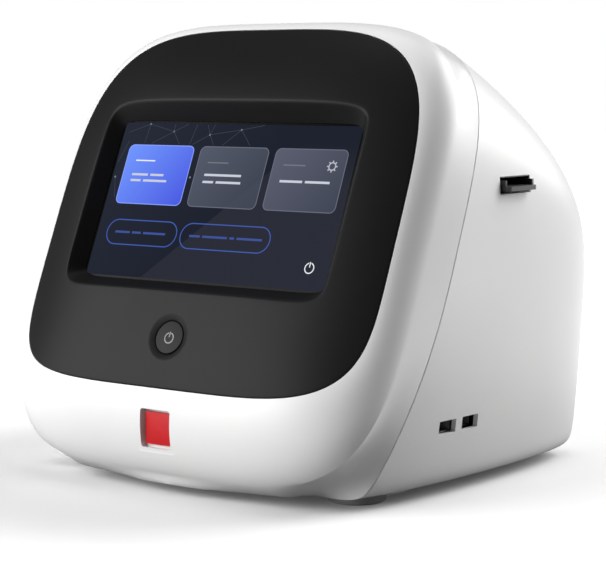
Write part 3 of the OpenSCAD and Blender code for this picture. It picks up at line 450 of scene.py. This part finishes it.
def borderRing(angle, inset=0.0):
    out = (math.sin(angle) - math.sin(arcFrom)) / (math.sin(arcTo) - math.sin(arcFrom))
    back = (math.cos(arcFrom) - math.cos(angle)) / (math.cos(arcFrom) - math.cos(arcTo))
    x = edgeX + (creaseX - edgeX) * out
    v = edgeV + (creaseV - edgeV) * out - level
    scale = 1 - inset * math.sin(angle) / np.hypot(x, v)
    return facePoints(x * scale, level + v * scale,
                      edgeZ + (creaseZ - edgeZ) * back - inset * math.cos(angle))


def flankRing(inset, floorInset):
    r = superRadius(turnCos, turnSin, case["halfWidth"] - flank["inset"] - inset,
                    case["rise"] - level - flank["drop"] - inset,
                    level - creaseFoot + flank["dip"] - inset, flank["powerUp"], flank["powerDown"])
    x, v = r * turnCos, level + r * turnSin
    ease = (1 + np.cos(np.minimum(np.pi, np.abs(x) / flank["pullHalf"] * np.pi))) / 2
    points = facePoints(x, v, flank["n"] + np.where(v < level, flank["pull"] * ease, 0))
    points[:, 2] = np.maximum(points[:, 2], case["underside"] + floorInset)
    return points


def caseRing(t, inset=0.0, floorInset=0.0):
    over = max(t, 0)
    top = bend(seamTop, shoulder, backTop, t)
    foot = np.array([bend(seamFoot, heel, backFoot, t),
                     case["underside"] + backLift * max(0, (t - liftFrom) / (1 - liftFrom)) ** 2])
    length = np.linalg.norm(top - foot)
    up = (top - foot) / length
    drop = length * (section["belly"] - section["bellyFade"] * t)
    widest = case["halfWidth"] + section["swell"]
    half = (case["halfWidth"] + section["swell"] * t
            - (widest - case["backHalf"]) * over ** section["taper"])
    spread = section["spread"] + section["spreadSwell"] * t * (1 - t) - section["spreadFade"] * t
    power = section["flatPower"] - section["flatFade"] * over ** 3
    sharpen = section["sharpen"] * t
    r = superRadius(turnCos, turnSin, half - inset, length - drop - inset, drop * spread - inset,
                    section["powerUp"] + sharpen,
                    section["powerDown"] + sharpen + section["sharpenFoot"] * over ** 4)
    flat = drop - floorInset / up[1]
    r = (r ** -power + (np.maximum(-turnSin, 1e-4) / flat) ** power) ** (-1 / power)
    along = drop + r * turnSin
    return np.c_[r * turnCos, foot[0] + up[0] * along - inset * over ** 3, foot[1] + up[1] * along]


def flankBand(first, middle, last, steps):
    # a smooth curve through crease, flank and seam
    a = np.linalg.norm(middle - first, axis=1)
    b = np.linalg.norm(last - middle, axis=1)
    m = (a / (a + b))[:, None]
    rings = []
    for k in range(1, steps + 1):
        t = k / steps
        ring = (first * (t - m) * (t - 1) / m + middle * t * (t - 1) / (m * (m - 1))
                + last * t * (t - m) / (1 - m))
        ring[:, 2] = np.maximum(ring[:, 2], case["underside"])
        rings.append(ring)
    return rings


# front shell: arc border, crease, flank, and the tongue of the lap joint
shell = {"borderSteps": 22, "flankSteps": 12, "lapIn": 1.2, "lapTo": 0.017, "seamRound": 0.0007,
         "seamInset": 0.22, "ledge": 5, "ledgeBack": 2.6, "ledgeThick": 1.6}
badge = {"width": 15.6, "height": 16.2, "thick": 2.2, "depth": 2.2, "margin": 1.7, "corner": 0.8,
         "pocketCorner": 1.5, "boxDrop": 1.6}
badgeArc = math.asin((math.sin(arcFrom) + math.sin(arcTo)) / 2)
badgeBack = (math.cos(arcFrom) - math.cos(badgeArc)) / (math.cos(arcFrom) - math.cos(arcTo))
badgeRim = edge["n"] + edge["swell"]
badgeN = badgeRim + (creaseN - creaseLean * (creaseFoot - level) - badgeRim) * badgeBack
badgePoint = facePoints(0, creaseFoot + case["chin"] / 2, badgeN)[0]
badgeFrame = Matrix.Translation(Vector(badgePoint) * mm) @ Matrix.Rotation(math.pi / 2, 4, "X")

steps = shell["borderSteps"]
arcs = [borderRing(arcFrom + (arcTo - arcFrom) * k / steps) for k in range(steps + 1)]
lapIn = shell["lapIn"]
lapGap = lapIn + case["clear"] / 2
wall, floor = case["wall"], case["floor"]
seamRing = caseRing(-shell["seamRound"])
rings = arcs + flankBand(arcs[-1], flankRing(0, 0), seamRing, shell["flankSteps"])
rings += [caseRing(0, shell["seamInset"], shell["seamInset"]), caseRing(0, lapIn, lapIn),
          caseRing(shell["lapTo"], lapGap, lapGap), caseRing(shell["lapTo"], wall, floor),
          caseRing(0, wall, floor), flankRing(wall, floor)]
rings += [borderRing(arcFrom + (arcTo - arcFrom) * k / 6, wall) for k in range(6, 0, -1)]
rings += [edgeRing(1, shell["ledgeBack"] + shell["ledgeThick"]),
          edgeRing(-shell["ledge"], shell["ledgeBack"] + shell["ledgeThick"]),
          edgeRing(-shell["ledge"], shell["ledgeBack"]), edgeRing(0, shell["ledgeBack"])]
frontShell = skin("frontShell", rings, loop=True)
pocket = (badge["width"] + 2 * badge["margin"], badge["height"] + 2 * badge["margin"])
pocketDepth = badge["depth"] + badge["thick"]
boxSize = (pocket[0] + 2 * wall, pocket[1] + 2 * wall, pocketDepth + wall - badge["boxDrop"])
box = settle(slab("badgeBox", boxSize, -pocketDepth - wall, 2), badgeFrame)
cut(frontShell, box, "UNION")
cut(frontShell, settle(slab("badgeHole", (*pocket, 20), -pocketDepth, badge["pocketCorner"]),
                       badgeFrame))
dress(smooth(frontShell), "whiteAbs", stands=["front_bezel"])

plate = slab("badgePlate", (badge["width"], badge["height"], badge["thick"]), -pocketDepth,
             badge["corner"], edge=0.2)
dress(smooth(settle(plate, badgeFrame)), "redEnamel", stands=["badge_plate"])
print("front shell made")

# rear shell
rear = {"start": 0.0016, "stations": 44, "backRound": 1.6, "backFrom": 0.985}
port = {"y": 18, "z": 153.7, "width": 31, "height": 8.8, "wall": 0.6, "gap": 0.2, "lip": 2,
        "deep": 8.1, "back": 9, "lipThick": 1.6, "lipBack": 6.3}
usb = {"z": 36.4, "pitch": 18.8, "y": -29, "width": 13.1, "height": 5.7, "mouth": 114.5,
       "depth": 14, "gap": 0.5, "wall": 0.4, "tongue": 1.6, "tongueSide": 1.2, "tongueShort": 7.5}
vent = {"x": -42, "radius": 27, "step": 6, "slot": 3, "screwAt": 25.02, "screwHole": 1.7}
inlet = {"x": 58, "down": 22, "radius": 5.5, "gap": 0.1}
base = {"width": 206, "depth": 172.65, "y": 5.675, "frontRound": 25, "backRound": 14, "gap": 0.2,
        "ledge": 7, "recess": 2, "holeTop": 18}
boss = {"x": 99.5, "y": 62.325, "radius": 4, "low": 7.5, "high": 16.5, "bore": 1.5, "boreLow": 6,
        "boreHigh": 15}
backLean = math.atan2(backTop[0] - backFoot, backTop[1] - case["underside"] - backLift)
backMiddle = ((backTop[0] + backFoot) / 2, (backTop[1] + case["underside"] + backLift) / 2)
backFrame = (Matrix.Translation((0, backMiddle[0] * mm, backMiddle[1] * mm))
             @ Matrix.Rotation(-math.pi / 2 - backLean, 4, "X"))

start, roundness = rear["start"], shell["seamInset"]
lapEnd, lapOut, backFrom = shell["lapTo"] + 0.002, lapIn - case["clear"] / 2, rear["backFrom"]
inner = [caseRing(t, wall, floor)
         for t in (1, 0.94, 0.88, 0.8, 0.72, 0.62, 0.52, 0.41, 0.3, 0.19, 0.1, lapEnd)]
inner += [caseRing(lapEnd, lapOut, lapOut), caseRing(start, lapOut, lapOut),
          caseRing(start, roundness, roundness)]
count = rear["stations"]
outer = [caseRing(start + shell["seamRound"] + (backFrom - start) * (k / count) ** 0.95)
         for k in range(count + 1)]
for a in np.radians((22, 45, 68, 90)):
    inset = rear["backRound"] * (1 - math.cos(a))
    outer.append(caseRing(backFrom + (1 - backFrom) * math.sin(a), inset, inset))
rearShell = skin("rearShell", inner + outer, loop=False)


def plateOutline(name, grow, low, high):
    # the base plate's outline, grown, as a solid: round at the front, tighter at the back
    width, depth, plateY = base["width"] + 2 * grow, base["depth"] + 2 * grow, base["y"]
    front, back = base["frontRound"] + grow, base["backRound"]
    pieces = []
    for y0, y1, half in ((-depth / 2, depth / 2 - back, width / 2 - front),
                         (-depth / 2 + front, depth / 2 - back, width / 2),
                         (-depth / 2 + front, depth / 2, width / 2 - back)):
        pieces.append(slab("strip", (2 * half, y1 - y0, high - low), low, 0,
                           at=(0, plateY + (y0 + y1) / 2)))
    for side in (-1, 1):
        pieces.append(rod("corner", front, low, high, sides=96,
                          at=(side * (width / 2 - front), plateY - depth / 2 + front)))
        pieces.append(rod("corner", back, low, high, sides=64,
                          at=(side * (width / 2 - back), plateY + depth / 2 - back)))
    body = pieces[0]
    for other in pieces[1:]:
        cut(body, other, "UNION")
    pick(body)
    return named(name)


under = case["underside"]
bosses = [(x, base["y"] + y) for x in (-boss["x"], boss["x"]) for y in (-boss["y"], 0, boss["y"])]
cut(rearShell, plateOutline("plateRecess", base["gap"], under - 1, under + base["recess"]))
hole = plateOutline("floorHole", -base["ledge"], under - 1, base["holeTop"])
for at in bosses:
    cut(hole, rod("keep", boss["radius"], 0, 30, at=at))
cut(rearShell, hole)
for at in bosses:
    cut(rearShell, rod("boss", boss["radius"], boss["low"], boss["high"], at=at), "UNION")
    bore = rod("bore", boss["bore"], boss["boreLow"], boss["boreHigh"], at=at, sides=32)
    cut(rearShell, bore)
holeSize = (24, port["width"] + port["gap"], port["height"] + port["gap"])
cut(rearShell, slab("portHole", holeSize, port["z"] - holeSize[2] / 2, 0,
                    at=(case["halfWidth"], port["y"])))
for side in (-1, 1):
    cut(rearShell, slab("usbHole", (30, usb["width"] + usb["gap"], usb["height"] + 2 * usb["gap"]),
                        usb["z"] - usb["height"] / 2 - usb["gap"], 0,
                        at=(case["halfWidth"] - 1, usb["y"] + side * usb["pitch"] / 2)))
for k in range(-4, 5):
    half = math.sqrt(vent["radius"] ** 2 - (k * vent["step"]) ** 2)
    cut(rearShell, settle(slab("ventHole", (2 * half, vent["slot"], 20), -10, 0,
                               at=(vent["x"], k * vent["step"])), backFrame))
for x in (-1, 1):
    for y in (-1, 1):
        at = (vent["x"] + x * vent["screwAt"], y * vent["screwAt"])
        hole = rod("screwHole", vent["screwHole"], -10, 10, at=at, sides=32)
        cut(rearShell, settle(hole, backFrame))
cut(rearShell, settle(rod("inletHole", inlet["radius"] + inlet["gap"], -10, 10,
                          at=(inlet["x"], inlet["down"])), backFrame))
dress(smooth(rearShell), "whiteAbs", stands=["rear_housing"])
print("rear shell made")

# crowned panel with its recess and the dish round the button
panel = {"crown": 13.3, "thick": 2.4, "rimWidth": 167.8, "rimHeight": 103.3, "gap": 0.3,
         "rimV": -0.25, "mouthWidth": 156.6, "mouthHeight": 88.3, "mouthN": 0.25,
         "edgeRound": 0.6, "rimRound": 1.5, "steps": 26, "postX": 89.9, "postV": 30, "post": 3.4,
         "postBore": 1.5, "bracket": -6.8}
button = {"radius": 8.5, "v": -76, "travel": 1.5, "dish": 1.3, "guide": 1.8, "guideRadius": 12.2,
          "cutRadius": 14.2, "dishRadius": 12.4, "gap": 0.1, "flange": 1.4, "flangeThick": 1.5,
          "low": 0.5, "sink": 1, "board": 5.05, "boardPost": 2.6, "boardPostOut": 9.5}
bracketN = panel["bracket"]
buttonN = panel["crown"] - button["low"]
flangeLow = button["guide"] - button["gap"] - button["flangeThick"]
boardN = button["guide"] - button["gap"] - button["travel"] - button["board"]


def dome(x, v):
    reach = np.hypot(x, v - edgeLevel)
    c, s = x / reach, (v - edgeLevel) / reach
    r = edgeRadius(c, s)
    e = edgeDepth(edgeLevel + r * s)
    return e + (panel["crown"] - e) * (1 - (reach / r) ** 4)


def roundRect(width, height, power):
    r = (np.abs(turnCos) ** power + np.abs(turnSin) ** power) ** (-1 / power)
    return np.c_[width / 2 * turnCos * r, panel["rimV"] + height / 2 * turnSin * r]


def panelRing(s, grow=0.0, back=0.0, pull=0.0):
    r = edgeR - panel["gap"] - pull
    e = np.c_[r * turnCos, edgeLevel + r * turnSin]
    m = roundRect(panel["rimWidth"] + grow, panel["rimHeight"] + grow, 12)
    q = m + (e - m) * s
    return facePoints(q[:, 0], q[:, 1], dome(q[:, 0], q[:, 1]) - back)


def mouthRing(grow):
    q = roundRect(panel["mouthWidth"] + grow, panel["mouthHeight"] + grow, 20)
    return facePoints(q[:, 0], q[:, 1], np.full(len(q), panel["mouthN"]))


def toward(first, last, distance):
    gap = last - first
    return first + gap * (distance / np.linalg.norm(gap, axis=1))[:, None]


rim, mouth, radius = panelRing(0), mouthRing(0), panel["edgeRound"]
onPanel = toward(rim, panelRing(0.05), panel["rimRound"])
onWall = toward(rim, mouth, panel["rimRound"])
rings = [panelRing(s, 3.6, panel["thick"]) for s in (1, 0.93, 0.83, 0.68, 0.45, 0.2, 0)]
rings += [mouthRing(3.6), mouth]
rings += [mouth + (onWall - mouth) * k / 4 for k in range(1, 5)]
rings += [bend(onWall, rim, onPanel, k / 6) for k in range(1, 7)]
rings += [panelRing(0.04 + 0.96 * (k / panel["steps"]) ** 0.9) for k in range(1, panel["steps"])]
rings += [panelRing(1, 0, radius * (1 - math.sin(a)), radius * (1 - math.cos(a)))
          for a in np.radians((90, 68, 45, 22, 0))]
facePanel = skin("facePanel", rings, loop=True)


def onFace(piece):
    return settle(piece, faceFrame)


cut(facePanel, onFace(rod("dishCut", button["cutRadius"], -6, 30, at=(0, button["v"]), sides=96)))
for x in (-1, 1):
    for v in (-1, 1):
        top = float(dome(np.array([panel["postX"]]), np.array([v * panel["postV"]]))[0])
        post = rod("post", panel["post"], bracketN, top - panel["thick"] / 2, sides=48,
                   at=(x * panel["postX"], v * panel["postV"]))
        cut(facePanel, onFace(post), "UNION")
        postBore = rod("postBore", panel["postBore"], bracketN - 1, bracketN + 6, sides=24,
                       at=(x * panel["postX"], v * panel["postV"]))
        cut(facePanel, onFace(postBore))
    boardPost = rod("boardPost", button["boardPost"], boardN, buttonN - panel["thick"], sides=32,
                    at=(x * (button["radius"] + button["boardPostOut"]), button["v"]))
    cut(facePanel, onFace(boardPost), "UNION")

# dish: soft lip, floor, bore of the guide tube and the tube's outside
around = np.arange(96) / 96 * 2 * np.pi
bore = button["radius"] + button["gap"]


def dishRing(r, drop=None, n=None):
    x, v = r * np.cos(around), button["v"] + r * np.sin(around)
    return facePoints(x, v, dome(x, v) - drop if n is None else np.full(96, n))


lip = []
for r in np.linspace(button["cutRadius"], bore + 0.5, 22):
    share = max(0, (button["dishRadius"] - r) / (button["dishRadius"] - bore))
    lip.append(dishRing(r, button["dish"] * share ** 1.3))
lip += [dishRing(bore + 0.15, button["dish"] + 0.1), dishRing(bore, button["dish"] + 0.45),
        dishRing(bore, n=button["guide"]), dishRing(button["guideRadius"], n=button["guide"]),
        dishRing(button["guideRadius"], panel["thick"] + 1.2),
        dishRing(button["cutRadius"], panel["thick"] + 0.2)]
dish = skin("dish", lip, loop=True)
facePanel = join("facePanel", [facePanel, dish])
dress(smooth(facePanel), "darkLacquer", stands=["face_panel"])

faceN = buttonN - button["sink"]
cap = rod("buttonCap", button["radius"], button["guide"] - 1, faceN, at=(0, button["v"]), sides=96)
flange = rod("flange", button["radius"] + button["flange"], flangeLow,
             button["guide"] - button["gap"], at=(0, button["v"]), sides=96)
cut(cap, flange, "UNION")
roundEdges(cap, 0.45, segments=4, angle=60)
dress(smooth(onFace(cap)), "buttonLacquer", "power_button", ["power_button"])


def powerSign(name, at, low, high, radius, width):
    # a broken ring with a bar through the gap
    ring = rod(name, radius, low, high, at=at, sides=64)
    cut(ring, rod("core", radius - width, low - 1, high + 1, at=at, sides=64))
    cut(ring, slab("gap", (2.6 * width, radius + 1, high - low + 2), low - 1, 0,
                   at=(at[0], at[1] + (radius + 1) / 2)))
    bar = slab("bar", (width, radius * 0.95, high - low), low, 0, at=(at[0], at[1] + radius * 0.62))
    return join(name, [ring, bar])


signSize = (2.9, 0.55)          # the ring's radius and the stroke's width
mark = onFace(powerSign("buttonMark", (0, button["v"] - 0.4), faceN, faceN + 0.03, *signSize))
dress(mark, "greyInk", "power_button")
print("panel and button made")

# touch glass and the picture on the display
screen = {"width": 154.2, "height": 85.9, "glass": 1.2, "corner": 1.2, "tileLeft": -70.5,
          "pitch": 49.0, "tileWidth": 44.8, "tileLow": -3.3, "tileHigh": 30.2, "tileRound": 3.4,
          "tileLine": 0.45, "pillV": -19.1, "pillHigh": 14.2, "pillRound": 7.0, "pillLine": 0.55,
          "dashV": 21.2, "barHigh": 1.25, "pillBarHigh": 1.2}
band = {"slope": 0.92, "lift": -6.9, "share": 1.0, "color": "#2b2d38"}
paint["backdrop"] = litPaint("backdrop", ("#272c38", (-77, 43)), ("#1d222e", (0, -10)), band)
tileBand = dict(band, share=0.45, color="#474d5b")
tileColors = [("#7297ff", "#4a58e2"), ("#565b6b", "#3a404e"), ("#5c5f70", "#404655")]
for k, colors in enumerate(tileColors):
    left = screen["tileLeft"] + k * screen["pitch"]
    paint[f"tile{k}"] = litPaint(
        f"tile{k}", (colors[0], (left, screen["tileHigh"])),
        (colors[1], (left + screen["tileWidth"], screen["tileLow"])), tileBand if k == 1 else None)
flat = ((0, 0), (10, 0))
for name, color in (
        ("brightBlue", "#8fa6ff"), ("tileBorder", "#6c7080"), ("pillLine", "#4560b4"),
        ("pillBars", "#40549a"), ("white", "#f2f4fa"), ("bars", "#ccd0dc"),
        ("softWhite", "#b9bcc8"), ("dimLine", "#767b88"), ("web", "#3f4654"),
        ("webDot", "#7f8794")):
    paint[name] = litPaint(name, (color, flat[0]), (color, flat[1]))

glass = slab("touchGlass", (160, 91.7, screen["glass"]), -screen["glass"], 2, edge=0.15,
             at=(0, panel["rimV"]))
dress(smooth(onFace(glass)), "blackGlass", stands=["touch_glass"])
layer = 0.03                    # each printed layer of the picture


def patch(name, center, size, radius, depth, look):
    piece = slab(name, (*size, layer), layer * depth, radius, at=center)
    return dress(onFace(piece), look)


def outline(name, center, size, radius, line, depth, look):
    piece = slab(name, (*size, layer), layer * depth, radius, at=center, steps=10)
    cut(piece, slab("inside", (size[0] - 2 * line, size[1] - 2 * line, 1), -0.5 + layer * depth,
                    max(radius - line, 0), at=center, steps=10))
    return dress(onFace(piece), look)


def strokes(name, bars, depth, look):
    # each bar runs between two points, with its width
    pieces = []
    for (x0, y0), (x1, y1), width in bars:
        length = math.hypot(x1 - x0, y1 - y0)
        piece = slab("stroke", (length, width, layer), layer * depth, 0)
        piece.data.transform(Matrix.Translation(((x0 + x1) / 2 * mm, (y0 + y1) / 2 * mm, 0))
                             @ Matrix.Rotation(math.atan2(y1 - y0, x1 - x0), 4, "Z"))
        pieces.append(piece)
    return dress(onFace(join(name, pieces)), look)


patch("screenBackdrop", (0, panel["rimV"]), (screen["width"], screen["height"]), screen["corner"],
      0, "backdrop")
tileSize = (screen["tileWidth"], screen["tileHigh"] - screen["tileLow"])
tileMiddle = (screen["tileHigh"] + screen["tileLow"]) / 2
for k in range(3):
    center = (screen["tileLeft"] + k * screen["pitch"] + tileSize[0] / 2, tileMiddle)
    patch(f"screenTile{k + 1}", center, tileSize, screen["tileRound"], 1, f"tile{k}")
    outline(f"screenTileEdge{k + 1}", center, tileSize, screen["tileRound"], screen["tileLine"], 2,
            "brightBlue" if k == 0 else "tileBorder")
for k, (left, right) in enumerate(((-70.6, -22.6), (-20.4, 37.8))):
    outline(f"screenPill{k + 1}", ((left + right) / 2, screen["pillV"]),
            (right - left, screen["pillHigh"]), screen["pillRound"], screen["pillLine"], 2,
            "pillLine")

# rows of plain bars where a menu's words would be
rows = [(-63.8, [(13.3, (11, 9)), (10.0, (7, 16))]), (-14.8, [(14.4, (24,)), (10.5, (7, 16))]),
        (34.3, [(12.5, (14, 15))])]
bars = []
for left, lines in rows:
    for v, widths in lines:
        x = left
        for width in widths:
            bars.append(((x, v), (x + width, v), screen["barHigh"]))
            x += width + 1.7
strokes("screenBars", bars, 3, "bars")
dashV, pillV = screen["dashV"], screen["pillV"]
strokes("screenDash", [((-63.6, dashV), (-50.3, dashV), 0.7)], 3, "white")
strokes("screenDashes", [((x, dashV), (x + 13.6, dashV), 0.6) for x in (-14.7, 34.2)], 3, "dimLine")
bars = []
for x, widths in ((-64.6, (10, 6, 15)), (-14.2, (7, 16, 3, 16))):
    for width in widths:
        bars.append(((x, pillV), (x + width, pillV), screen["pillBarHigh"]))
        x += width + 1.6
strokes("screenPillBars", bars, 3, "pillBars")

# settings wheel: a ring with eight teeth
wheel = {"at": (64.2, 21.2), "radius": 2.3, "bore": 1.65, "tooth": (1.0, 0.7), "toothAt": 2.65}
ring = rod("wheel", wheel["radius"], 3 * layer, 4 * layer, at=wheel["at"], sides=48)
cut(ring, rod("wheelCore", wheel["bore"], -1, 1, at=wheel["at"], sides=48))
teeth = []
for k in range(8):
    x = wheel["at"][0] + wheel["toothAt"] * math.cos(k * math.pi / 4)
    y = wheel["at"][1] + wheel["toothAt"] * math.sin(k * math.pi / 4)
    tooth = slab("tooth", (*wheel["tooth"], layer), 3 * layer, 0)
    place = Matrix.Translation((x * mm, y * mm, 0))
    tooth.data.transform(place @ Matrix.Rotation(k * math.pi / 4, 4, "Z"))
    teeth.append(tooth)
dress(onFace(join("screenWheel", [ring] + teeth)), "softWhite")
sign = powerSign("screenPower", (65.4, -31.8), 3 * layer, 4 * layer, *signSize)
dress(onFace(sign), "white")

# faint web of lines and dots behind the tiles
webLines = [((-74, 37), (-60, 42)), ((-60, 42), (-42.7, 38)), ((-60, 42), (-61, 31)),
            ((-42.7, 38), (-56, 31)), ((-42.7, 38), (-37, 31)), ((-42.7, 38), (-34, 42.3)),
            ((-42.7, 38), (-43, 42.3)), ((-18, 36.6), (-28, 31)), ((-18, 36.6), (-14, 31)),
            ((-18, 36.6), (-16, 42.3)), ((-18, 36.6), (-21, 42.3)), ((-18, 36.6), (2, 39.6)),
            ((2, 39.6), (-8, 31)), ((2, 39.6), (16, 42.3)), ((2, 39.6), (10, 31)),
            ((-28, 42.3), (-30, 31)), ((-76, 20), (-72, 32)), ((-75.2, 11.5), (-72, 0))]
strokes("screenWeb", [(a, b, 0.28) for a, b in webLines], 1, "web")
dots = [rod("dot", 0.55, layer, 2 * layer, at=at, sides=16)
        for at in ((-60, 42), (-42.7, 38), (-18, 36.6), (2, 39.6), (-75.2, 11.5), (-23.9, 12.7))]
dress(onFace(join("screenDots", dots)), "webDot")
print("screen made")

# slide port and tray
def sideFrame(x, y, z):
    # width runs along Y and height along Z, the piece's own Z points out of the right side
    return (Matrix.Translation(Vector((x, y, z)) * mm) @ Matrix.Rotation(math.pi / 2, 4, "Z")
            @ Matrix.Rotation(math.pi / 2, 4, "X"))


portPlace = sideFrame(case["halfWidth"], port["y"], port["z"])
portFrame = slab("portFrame", (port["width"], port["height"], port["deep"]), -port["back"], 0.8)
lipSize = (port["width"] + 2 * port["lip"], port["height"] + 2 * port["lip"], port["lipThick"])
cut(portFrame, slab("portLip", lipSize, -port["lipBack"], 1), "UNION")
mouthSize = (port["width"] - 2 * port["wall"], port["height"] - 2 * port["wall"], 20)
cut(portFrame, slab("portMouth", mouthSize, -12, 0.5))
roundEdges(portFrame, 0.12, segments=2)
dress(smooth(settle(portFrame, portPlace)), "blackNylon",
      stands=["slide_port_frame"])

tray = {"end": 127.1, "length": 95, "width": 28.6, "low": 150.8, "thick": 2.4, "rail": 1.5,
        "top": 156.2, "corner": 2.5, "window": (48, 18), "windowBack": 42}
middle = tray["end"] - tray["length"] / 2
slideTray = slab("slideTray", (tray["length"], tray["width"], tray["thick"]), tray["low"],
                 tray["corner"], at=(middle, port["y"]))
railHigh, rail, corner = tray["top"] - tray["low"], tray["rail"], tray["corner"]
for side in (-1, 1):
    at = (middle, port["y"] + side * (tray["width"] - rail) / 2)
    sideRail = slab("rail", (tray["length"] - 2 * corner, rail, railHigh), tray["low"], 0, at=at)
    cut(slideTray, sideRail, "UNION")
at = (tray["end"] - tray["length"] + corner + rail / 2, port["y"])
cut(slideTray, slab("rail", (rail, tray["width"], railHigh), tray["low"], 0, at=at), "UNION")
cut(slideTray, slab("window", (*tray["window"], 10), tray["low"] - 2, 3,
                    at=(tray["end"] - tray["windowBack"], port["y"])))
roundEdges(slideTray, 0.2, segments=2)
dress(smooth(slideTray), "trayAnodised", "tray", ["slide_tray"])

# USB sockets: folded shell with a black tongue
for name, side, node in (("usbFront", -1, "usb_socket_front"), ("usbRear", 1, "usb_socket_rear")):
    place = sideFrame(usb["mouth"] - usb["depth"], usb["y"] + side * usb["pitch"] / 2, usb["z"])
    shellPiece = slab(name + "Shell", (usb["width"], usb["height"], usb["depth"]), 0, 0.6)
    inside = (usb["width"] - 2 * usb["wall"], usb["height"] - 2 * usb["wall"], usb["depth"])
    cut(shellPiece, slab("inside", inside, 1, 0.4))
    roundEdges(shellPiece, 0.08, segments=2)
    # the shells take the darker steel: painted shade inside the cut-outs
    dress(smooth(settle(shellPiece, place)), "shadedSocketSteel", stands=[node])
    tongueSize = (usb["width"] - 2 * usb["tongueSide"], usb["tongue"],
                  usb["depth"] - usb["tongueShort"])
    tongue = slab(name + "Tongue", tongueSize, 1, 0, edge=0.15, at=(0, usb["tongue"] / 2))
    dress(smooth(settle(tongue, place)), "blackNylon")
print("port and sockets made")


# camera, floor and light
studio = {"eye": (0.6013, -0.82345, 0.2058), "azimuth": 36.08, "elevation": 6.04, "lens": 112.2,
          "middle": Vector((0, 0, 0.12)), "lampReach": 1.9}
azimuth, elevation = math.radians(studio["azimuth"]), math.radians(studio["elevation"])
back = Vector((math.sin(azimuth) * math.cos(elevation), -math.cos(azimuth) * math.cos(elevation),
               math.sin(elevation)))
pick()
bpy.ops.object.camera_add(location=studio["eye"], rotation=back.to_track_quat("Z", "Y").to_euler())
camera = bpy.context.object
camera.data.lens = studio["lens"]
camera.data.sensor_width = 36
camera.data.clip_start, camera.data.clip_end = 0.05, 50
bpy.context.scene.camera = camera

pick()
bpy.ops.mesh.primitive_plane_add(size=12)
floorSheet = named("floorSheet")
# matt paper, dim to bounced rays: a camera-ray glow lifts it to pure white away from the case and
# fades out near it, so the floor there is darker than far out, painted shade round the case on top
# of its plain rendered shadow
material, tree = startMaterial("paleFloor")
path = addNode(tree, "LightPath")
place = addNode(tree, "TexCoord").outputs["Object"]
flat = addNode(tree, "VectorMath", {"operation": "MULTIPLY"}, {0: place, 1: (1, 1, 0)})
away = addNode(tree, "VectorMath", {"operation": "LENGTH"}, {0: flat.outputs[0]})
# glow grows with distance from the case: painted light far out, painted shade close in
white = addNode(tree, "MapRange", {"interpolation_type": "SMOOTHSTEP"}, {
    "Value": away.outputs["Value"], "From Min": 0.17, "From Max": 0.44, "To Min": 0.04,
    "To Max": 1.0})
seen = addNode(tree, "Math", {"operation": "MAXIMUM"}, {
    0: path.outputs["Is Camera Ray"], 1: path.outputs["Is Glossy Ray"]})
lift = addNode(tree, "Math", {"operation": "MULTIPLY"}, {
    0: seen.outputs[0], 1: white.outputs["Result"]})
paper = addNode(tree, "MapRange", None, {
    "Value": path.outputs["Is Camera Ray"], "To Min": 0.26, "To Max": 0.9})
matt = addNode(tree, "BsdfDiffuse", None, {"Color": paper.outputs["Result"]})
glow = addNode(tree, "Emission", None, {"Strength": lift.outputs[0]})
floorMix = addNode(tree, "AddShader", None, {0: matt.outputs[0], 1: glow.outputs[0]})
floorSheet.data.materials.append(endMaterial(material, floorMix))


def softbox(name, at, target, size, power):
    pick()
    aim = (Vector(target) - Vector(at)).to_track_quat("-Z", "Y")
    bpy.ops.object.light_add(type="AREA", location=at, rotation=aim.to_euler())
    lamp = named(name)
    lamp.data.shape = "RECTANGLE"
    lamp.data.size, lamp.data.size_y = size
    lamp.data.energy = power
    lamp.visible_camera = False


# name, azimuth from the front, height angle, size, power: broad key on the left, another behind on
# the right for the side and the back, and a faint one overhead
for name, swing, height, size, power in (
        ("keyLight", -37, 19, (1.7, 1.3), 50), ("sideLight", 146, 29, (1.3, 1.6), 46),
        ("topLight", 180, 80, (1.6, 1.2), 9)):
    swing, height = math.radians(swing), math.radians(height)
    way = Vector((math.sin(swing) * math.cos(height), -math.cos(swing) * math.cos(height),
                  math.sin(height)))
    softbox(name, studio["middle"] + way * studio["lampReach"], studio["middle"], size, power)

# white to the camera, faint light from all round to everything else
world = bpy.data.worlds.new("studioWorld")
bpy.context.scene.world = world
world.use_nodes = True
tree = world.node_tree
tree.nodes.clear()
path = addNode(tree, "LightPath")
seen = addNode(tree, "Math", {"operation": "MAXIMUM"}, {
    0: path.outputs["Is Camera Ray"], 1: path.outputs["Is Transmission Ray"]})
strength = addNode(tree, "MapRange", None, {
    "Value": seen.outputs[0], "To Min": 0.05, "To Max": 1.0})
sky = addNode(tree, "Background", None, {
    "Color": (1, 1, 1, 1), "Strength": strength.outputs["Result"]})
addNode(tree, "OutputWorld", None, {"Surface": sky.outputs[0]})
bpy.context.scene.view_settings.view_transform = "Standard"
print("studio made")
